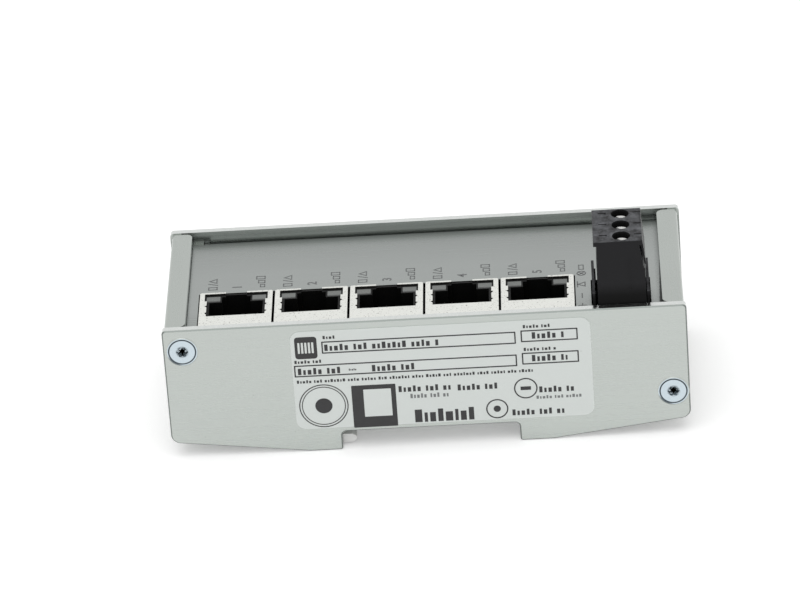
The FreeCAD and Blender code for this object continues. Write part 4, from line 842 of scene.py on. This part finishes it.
class RAILSWITCH_OT_finish_clip(bpy.types.Operator):
    """Give the rail hook, the latch, its guide, the spring and the rivets their finish"""
    bl_idname = "railswitch.finish_clip"
    bl_label = "Finish Rail Clip"

    def execute(self, context):
        values = context.scene.railswitch_clip
        finish("Hook moulding", values.hook, 0.48, moulded(4200.0, 0.04),
               specked(600.0, 0.04, 0.25, tone(150, 146, 138)), bump=0.012, on=("din_hook", "din_latch"))
        finish("Guide zinc", values.guide, 0.36, rolled((90.0, 3600.0, 3600.0), 0.1, 0.14),
               specked(900.0, 0.06, 0.3, tone(90, 92, 96)), bump=0.004, on=("din_guide",), Metallic=1.0)
        finish("Spring wire", values.spring, 0.28, plated(2600.0, 0.16),
               bump=0.003, on=("latch_spring",), Metallic=1.0)
        finish("Rivet metal", values.rivet, 0.32, plated(1600.0, 0.14),
               bump=0.006, on=("clip_rivets",), Metallic=1.0)
        held = middle("latch_spring")
        held.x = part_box("latch_spring")[1].x
        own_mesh(frame["nodes"]["latch_spring"])
        return {"FINISHED"}


class RAILSWITCH_OT_finish_electronics(bpy.types.Operator):
    """Give the board and what stands on it their finish"""
    bl_idname = "railswitch.finish_electronics"
    bl_label = "Finish Electronics"

    def execute(self, context):
        values = context.scene.railswitch_electronics
        finish("Solder resist", values.board, 0.3, ("Board tracks", {"Tint": values.track}),
               moulded(3000.0, 0.08, 0.1), bump=0.03, on=("main_board",), Coat_Weight=0.4)
        finish("Post brass", values.brass, 0.26, plated(1500.0, 0.12),
               bump=0.004, on=("board_posts",), Metallic=1.0)
        finish("Board screw steel", values.steel, 0.3, plated(1500.0, 0.12),
               bump=0.004, on=("board_screws",), Metallic=1.0)
        finish("Package moulding", values.package, 0.55, moulded(6000.0, 0.14),
               bump=0.01, on=("port_transformers", "switch_chip", "converter_chip"))
        finish("Sintered ferrite", values.ferrite, 0.62, moulded(2500.0, 0.2),
               specked(2200.0, 0.2, 0.4, tone(150, 150, 152)), bump=0.03, on=("power_inductor",))
        finish("Drawn can", values.can, 0.24, rolled((2400.0, 2400.0, 60.0), 0.08),
               bump=0.003, on=("clock_crystal", "supply_capacitors"), Metallic=1.0)
        return {"FINISHED"}


class RAILSWITCH_OT_add_label_print(bpy.types.Operator):
    """Give the rating label its film and its plain print: frames, rings and rows of blocks"""
    bl_idname = "railswitch.add_label_print"
    bl_label = "Add Label Print"

    def execute(self, context):
        values = context.scene.railswitch_label
        finish("Label film", values.film, 0.42, moulded(2600.0, 0.03, 0.4),
               specked(500.0, 0.05, 0.25, tone(150, 152, 150)), bump=0.008, on=("label_foil",))
        ink = print_ink("Label ink", values.ink)
        faint = print_ink("Faint label ink", values.faint_ink)
        pale = finish("Pale label mark", values.film, 0.42, moulded(2600.0, 0.04, 0.4), bump=0.008)
        line, corner = values.frame_line / MM, values.corner / MM
        sheet = Print("label_print")
        for box in ((-22.7, 19.9, 24.7, 27.75), (-29.1, 19.9, 19.05, 22.0),
                    (21.0, 33.5, 25.0, 27.95), (21.0, 33.5, 19.35, 22.3)):
            sheet.frame(*box, line, corner)
        for row in ((-22.1, 3.6, 25.35, 26.95), (-28.3, -18.0, 19.6, 21.2), (-17.1, -15.1, 20.1, 20.6),
                    (-12.0, -2.5, 19.6, 21.2), (23.45, 30.5, 25.75, 27.35), (23.2, 31.0, 20.05, 21.65),
                    (-6.5, 5.1, 14.0, 15.5), (6.5, 16.3, 13.65, 15.15), (24.4, 32.0, 12.1, 13.6),
                    (18.2, 30.3, 6.6, 8.1)):
            sheet.words(*row)
        sheet.words(-3.3, 10.1, 6.1, 9.3, rhythm=(0.5, 0.22, 0.4, 0.36), gap=0.16, runs=(20,))
        for row in ((-22.3, -19.4, 28.35, 29.15), (-28.9, -22.3, 22.45, 23.25), (21.6, 28.1, 28.5, 29.3),
                    (21.5, 28.7, 22.75, 23.55), (-28.7, 23.6, 17.45, 18.2)):
            sheet.words(*row, **SMALL_TYPE)
        sheet.ring(-23.2, 11.5, 5.45, 0.24)
        sheet.ring(-23.2, 11.5, 4.85, 0.2)
        sheet.disc(-23.2, 11.5, 1.9)
        sheet.block(-16.9, -7.15, 5.5, 16.2, 0.2)
        sheet.ring(21.45, 13.35, 2.6, 0.3)
        sheet.block(20.3, 22.6, 12.9, 13.8)
        sheet.ring(14.9, 8.5, 2.45, 0.3)
        sheet.disc(14.9, 8.5, 0.8, 24)
        sheet.block(-28.6, -23.7, 23.6, 29.1, 0.7)
        sheet.raise_and_place(values.ink_height, ON_LABEL, ink)
        soft = Print("label_faint_print")
        soft.words(-4.0, 4.8, 12.3, 13.4)
        soft.words(23.7, 33.9, 10.5, 11.3, **SMALL_TYPE)
        soft.raise_and_place(values.ink_height, ON_LABEL, faint)
        knock = Print("label_pale_marks")
        knock.block(-14.3, -8.2, 8.2, 15.1, 0.1)
        for step in range(5):
            left = -27.95 + 0.76 * step
            knock.block(left, left + 0.46, 25.0, 27.7, 0.1)
        knock.raise_and_place(values.ink_height * 1.6, ON_LABEL, pale)
        return {"FINISHED"}


class RAILSWITCH_OT_add_port_legends(bpy.types.Operator):
    """Print the digits 1 to 5 and the plain lamp marks beside the jacks"""
    bl_idname = "railswitch.add_port_legends"
    bl_label = "Add Port Legends"

    def execute(self, context):
        values = context.scene.railswitch_legends
        ink = print_ink("Legend ink", values.ink, 0.25)
        tall, stroke = values.height / MM, values.stroke / MM
        reach = (SHIELD_HIGH.y - SHIELD_LOW.y) / 2
        places = [((port.y + reach) / MM, -port.x / MM) for port in PORTS]
        marks = Print("port_lamp_marks")
        for along, across in places:
            link_mark(marks, along + 4.4, across + 5.4, tall, stroke)
            rate_mark(marks, along + 4.8, across - 5.2, tall, stroke)
        marks.raise_and_place(values.thickness, ON_PLATE, ink)
        digits = [digit(str(count), along + 2.75, across, tall, values.thickness / MM)
                  for count, (along, across) in enumerate(places, 1)]
        pick(*digits)
        bpy.ops.object.join()
        digits[0].name = digits[0].data.name = "port_digits"
        settle(digits[0], ON_PLATE, ink)
        return {"FINISHED"}


def print_ink(name, base, cloud=0.2):
    """The finish of a print, made once."""
    made = bpy.data.materials.get(name)
    return made or finish(name, base, 0.5, moulded(4000.0, cloud, 0.5), bump=0.004)


def link_mark(sheet, along, across, tall, stroke):
    """A lamp's mark: an open box and an open triangle with a stroke between them."""
    sheet.frame(along - 2.5, along - 1.15, across - 0.5 * tall, across + 0.5 * tall, stroke, 0.1)
    sheet.block(along - stroke / 2, along + stroke / 2, across - 0.55 * tall, across + 0.55 * tall,
                turn=math.radians(-20))
    sheet.ring(along + 1.55, across - 0.12 * tall, 0.62 * tall, stroke, 3)


def rate_mark(sheet, along, across, tall, stroke):
    """A lamp's mark: three open bars, each taller than the last."""
    for step, part in enumerate((0.56, 0.78, 1.0)):
        left = along - 2.6 + 1.85 * step
        sheet.frame(left, left + 1.4, across - tall / 2, across + (part - 0.5) * tall, stroke, 0.1)


def digit(text, start, across, tall, thickness):
    """One digit as a closed raised mesh, its height fitted to the legend's."""
    deselect()
    bpy.ops.object.text_add(location=(0, 0, 0))
    piece = bpy.context.active_object
    shape = {"body": text, "align_x": "CENTER", "align_y": "CENTER", "size": 2.8, "offset": 0.05,
             "extrude": thickness / 2, "resolution_u": 4}
    for name, value in shape.items():
        setattr(piece.data, name, value)
    bpy.ops.object.convert(target="MESH")
    piece = bpy.context.active_object
    pick(piece)
    bpy.ops.object.mode_set(mode="EDIT")
    bpy.ops.mesh.select_all(action="SELECT")
    bpy.ops.mesh.remove_doubles(threshold=0.0005)
    turn_outward()
    corners = [Vector(corner) for corner in piece.bound_box]
    low = Vector(map(min, zip(*corners)))
    high = Vector(map(max, zip(*corners)))
    factor = tall / (high.y - low.y)
    centre = (low + high) / 2
    piece.data.transform(Matrix.Translation((start, across, thickness / 2))
                         @ Matrix.Diagonal((factor, factor, 1, 1)) @ Matrix.Translation(-centre))
    return piece


class RAILSWITCH_OT_add_supply_legends(bpy.types.Operator):
    """Print the plain supply marks, minus and plus, beside the terminal"""
    bl_idname = "railswitch.add_supply_legends"
    bl_label = "Add Supply Legends"

    def execute(self, context):
        values = context.scene.railswitch_legends
        ink = print_ink("Legend ink", values.ink, 0.25)
        tall, stroke = values.height / MM, values.stroke / MM
        across, fuse, ground, plus, arm = -34.9, -2.6, -7.6, -17.15, 0.95
        sheet = Print("supply_marks")
        sheet.ring(fuse, across, tall / 2, stroke, 28)
        for turn in (45, -45):
            sheet.block(fuse - stroke / 2, fuse + stroke / 2, across - 0.45 * tall, across + 0.45 * tall,
                        turn=math.radians(turn))
        sheet.frame(-0.9, 1.3, across - 0.3 * tall, across + 0.3 * tall, stroke, 0.1)
        sheet.ring(ground, across - 0.2, 0.62 * tall, stroke, 3)
        sheet.block(-8.9, -6.2, across + 0.5 * tall - stroke, across + 0.5 * tall)
        sheet.block(-13.8, -11.7, across - stroke / 2, across + stroke / 2)
        sheet.block(plus - arm, plus + arm, across - stroke / 2, across + stroke / 2)
        for low, high in ((stroke / 2, arm), (-arm, -stroke / 2)):
            sheet.block(plus - stroke / 2, plus + stroke / 2, across + low, across + high)
        sheet.raise_and_place(values.thickness, ON_PLATE, ink)
        return {"FINISHED"}


class RAILSWITCH_OT_build_stage(bpy.types.Operator):
    """Build the pale floor, the plain light and the camera"""
    bl_idname = "railswitch.build_stage"
    bl_label = "Build Stage"

    def execute(self, context):
        values = context.scene.railswitch_studio
        deselect()
        bpy.ops.mesh.primitive_plane_add(size=values.floor_size, location=(0, 0, -0.02 * MM))
        floor = context.active_object
        floor.name = floor.data.name = "floor"
        bpy.ops.object.transform_apply(location=True, rotation=True, scale=True)
        dress(floor, self.floor_material(values))
        self.surroundings(context.scene, values)
        bpy.ops.object.light_add(type="SUN")
        lamp = context.active_object
        lamp.name = "soft_lamp"
        lamp.rotation_euler = (values.lamp_tilt, 0, values.lamp_turn)
        lamp.data.energy = values.lamp_power
        lamp.data.angle = values.lamp_spread
        bpy.ops.object.camera_add()
        camera = context.active_object
        camera.name = "camera"
        camera.data.lens = values.lens
        camera.data.sensor_width = 36
        camera.data.clip_end = 50
        turn = (Matrix.Rotation(values.azimuth, 4, "Z")
                @ Matrix.Rotation(math.pi / 2 - values.elevation, 4, "X")
                @ Matrix.Rotation(values.roll, 4, "Z"))
        camera.matrix_world = (Matrix.Translation(values.aim) @ turn
                               @ Matrix.Translation((0, 0, values.distance)))
        context.scene.camera = camera
        context.scene.view_settings.view_transform = "Standard"
        return {"FINISHED"}

    def seen_directly(self, tree):
        """One for the camera's own rays and for those that metal and glass send out."""
        path = node(tree, "LightPath")
        seen = flow(path, "Is Camera Ray").math("MAXIMUM", flow(path, "Is Glossy Ray"))
        return seen.math("MAXIMUM", flow(path, "Is Transmission Ray"))

    def floor_material(self, values):
        material = bpy.data.materials.new("Floor")
        material.use_nodes = True
        tree = material.node_tree
        principled = tree.nodes["Principled BSDF"]
        factor = (noise(object_place(tree), 3.0) - 0.5) * 0.01 + 1.0
        tree.links.new(shade((*values.floor_colour,), factor).socket, principled.inputs["Base Color"])
        principled.inputs["Roughness"].default_value = 0.9
        principled.inputs["Specular IOR Level"].default_value = 0.1
        principled.inputs["Emission Color"].default_value = (1, 1, 1, 1)
        glow = self.seen_directly(tree) * values.floor_glow
        tree.links.new(glow.socket, principled.inputs["Emission Strength"])
        return material

    def surroundings(self, scene, values):
        world = bpy.data.worlds.new("Surroundings")
        scene.world = world
        world.use_nodes = True
        tree = world.node_tree
        background = tree.nodes["Background"]
        background.inputs["Color"].default_value = (1, 1, 1, 1)
        level = blend_values(self.seen_directly(tree), values.sky_level, 1.0)
        tree.links.new(level.socket, background.inputs["Strength"])


# ---------------------------------------------------------------- sidebar

OPERATORS = [
    RAILSWITCH_OT_finish_housing, RAILSWITCH_OT_add_case_screws, RAILSWITCH_OT_finish_ports,
    RAILSWITCH_OT_finish_terminal, RAILSWITCH_OT_finish_clip, RAILSWITCH_OT_finish_electronics,
    RAILSWITCH_OT_add_label_print, RAILSWITCH_OT_add_port_legends, RAILSWITCH_OT_add_supply_legends,
    RAILSWITCH_OT_build_stage,
]
SETTINGS = {
    "railswitch_housing": HousingSettings, "railswitch_screws": ScrewSettings,
    "railswitch_label": LabelSettings,
    "railswitch_legends": LegendSettings, "railswitch_ports": PortSettings,
    "railswitch_terminal": TerminalSettings, "railswitch_clip": ClipSettings,
    "railswitch_electronics": ElectronicsSettings, "railswitch_studio": StudioSettings,
}


class RAILSWITCH_PT_sidebar(bpy.types.Panel):
    bl_idname = "RAILSWITCH_PT_sidebar"
    bl_label = "Rail Switch"
    bl_space_type = "VIEW_3D"
    bl_region_type = "UI"
    bl_category = "Rail Switch"

    def draw(self, context):
        for operator in OPERATORS:
            self.layout.operator(operator.bl_idname)
        for name in SETTINGS:
            box = self.layout.box()
            group = getattr(context.scene, name)
            for prop in group.__annotations__:
                box.prop(group, prop)


def register():
    for kind in (*SETTINGS.values(), *OPERATORS, RAILSWITCH_PT_sidebar):
        bpy.utils.register_class(kind)
    for name, kind in SETTINGS.items():
        setattr(bpy.types.Scene, name, PointerProperty(type=kind))


def unregister():
    for name in SETTINGS:
        delattr(bpy.types.Scene, name)
    for kind in reversed((*SETTINGS.values(), *OPERATORS, RAILSWITCH_PT_sidebar)):
        bpy.utils.unregister_class(kind)


def main():
    register()
    for operator in OPERATORS:
        group, name = operator.bl_idname.split(".")
        getattr(getattr(bpy.ops, group), name)()


if __name__ == "__main__":
    main()
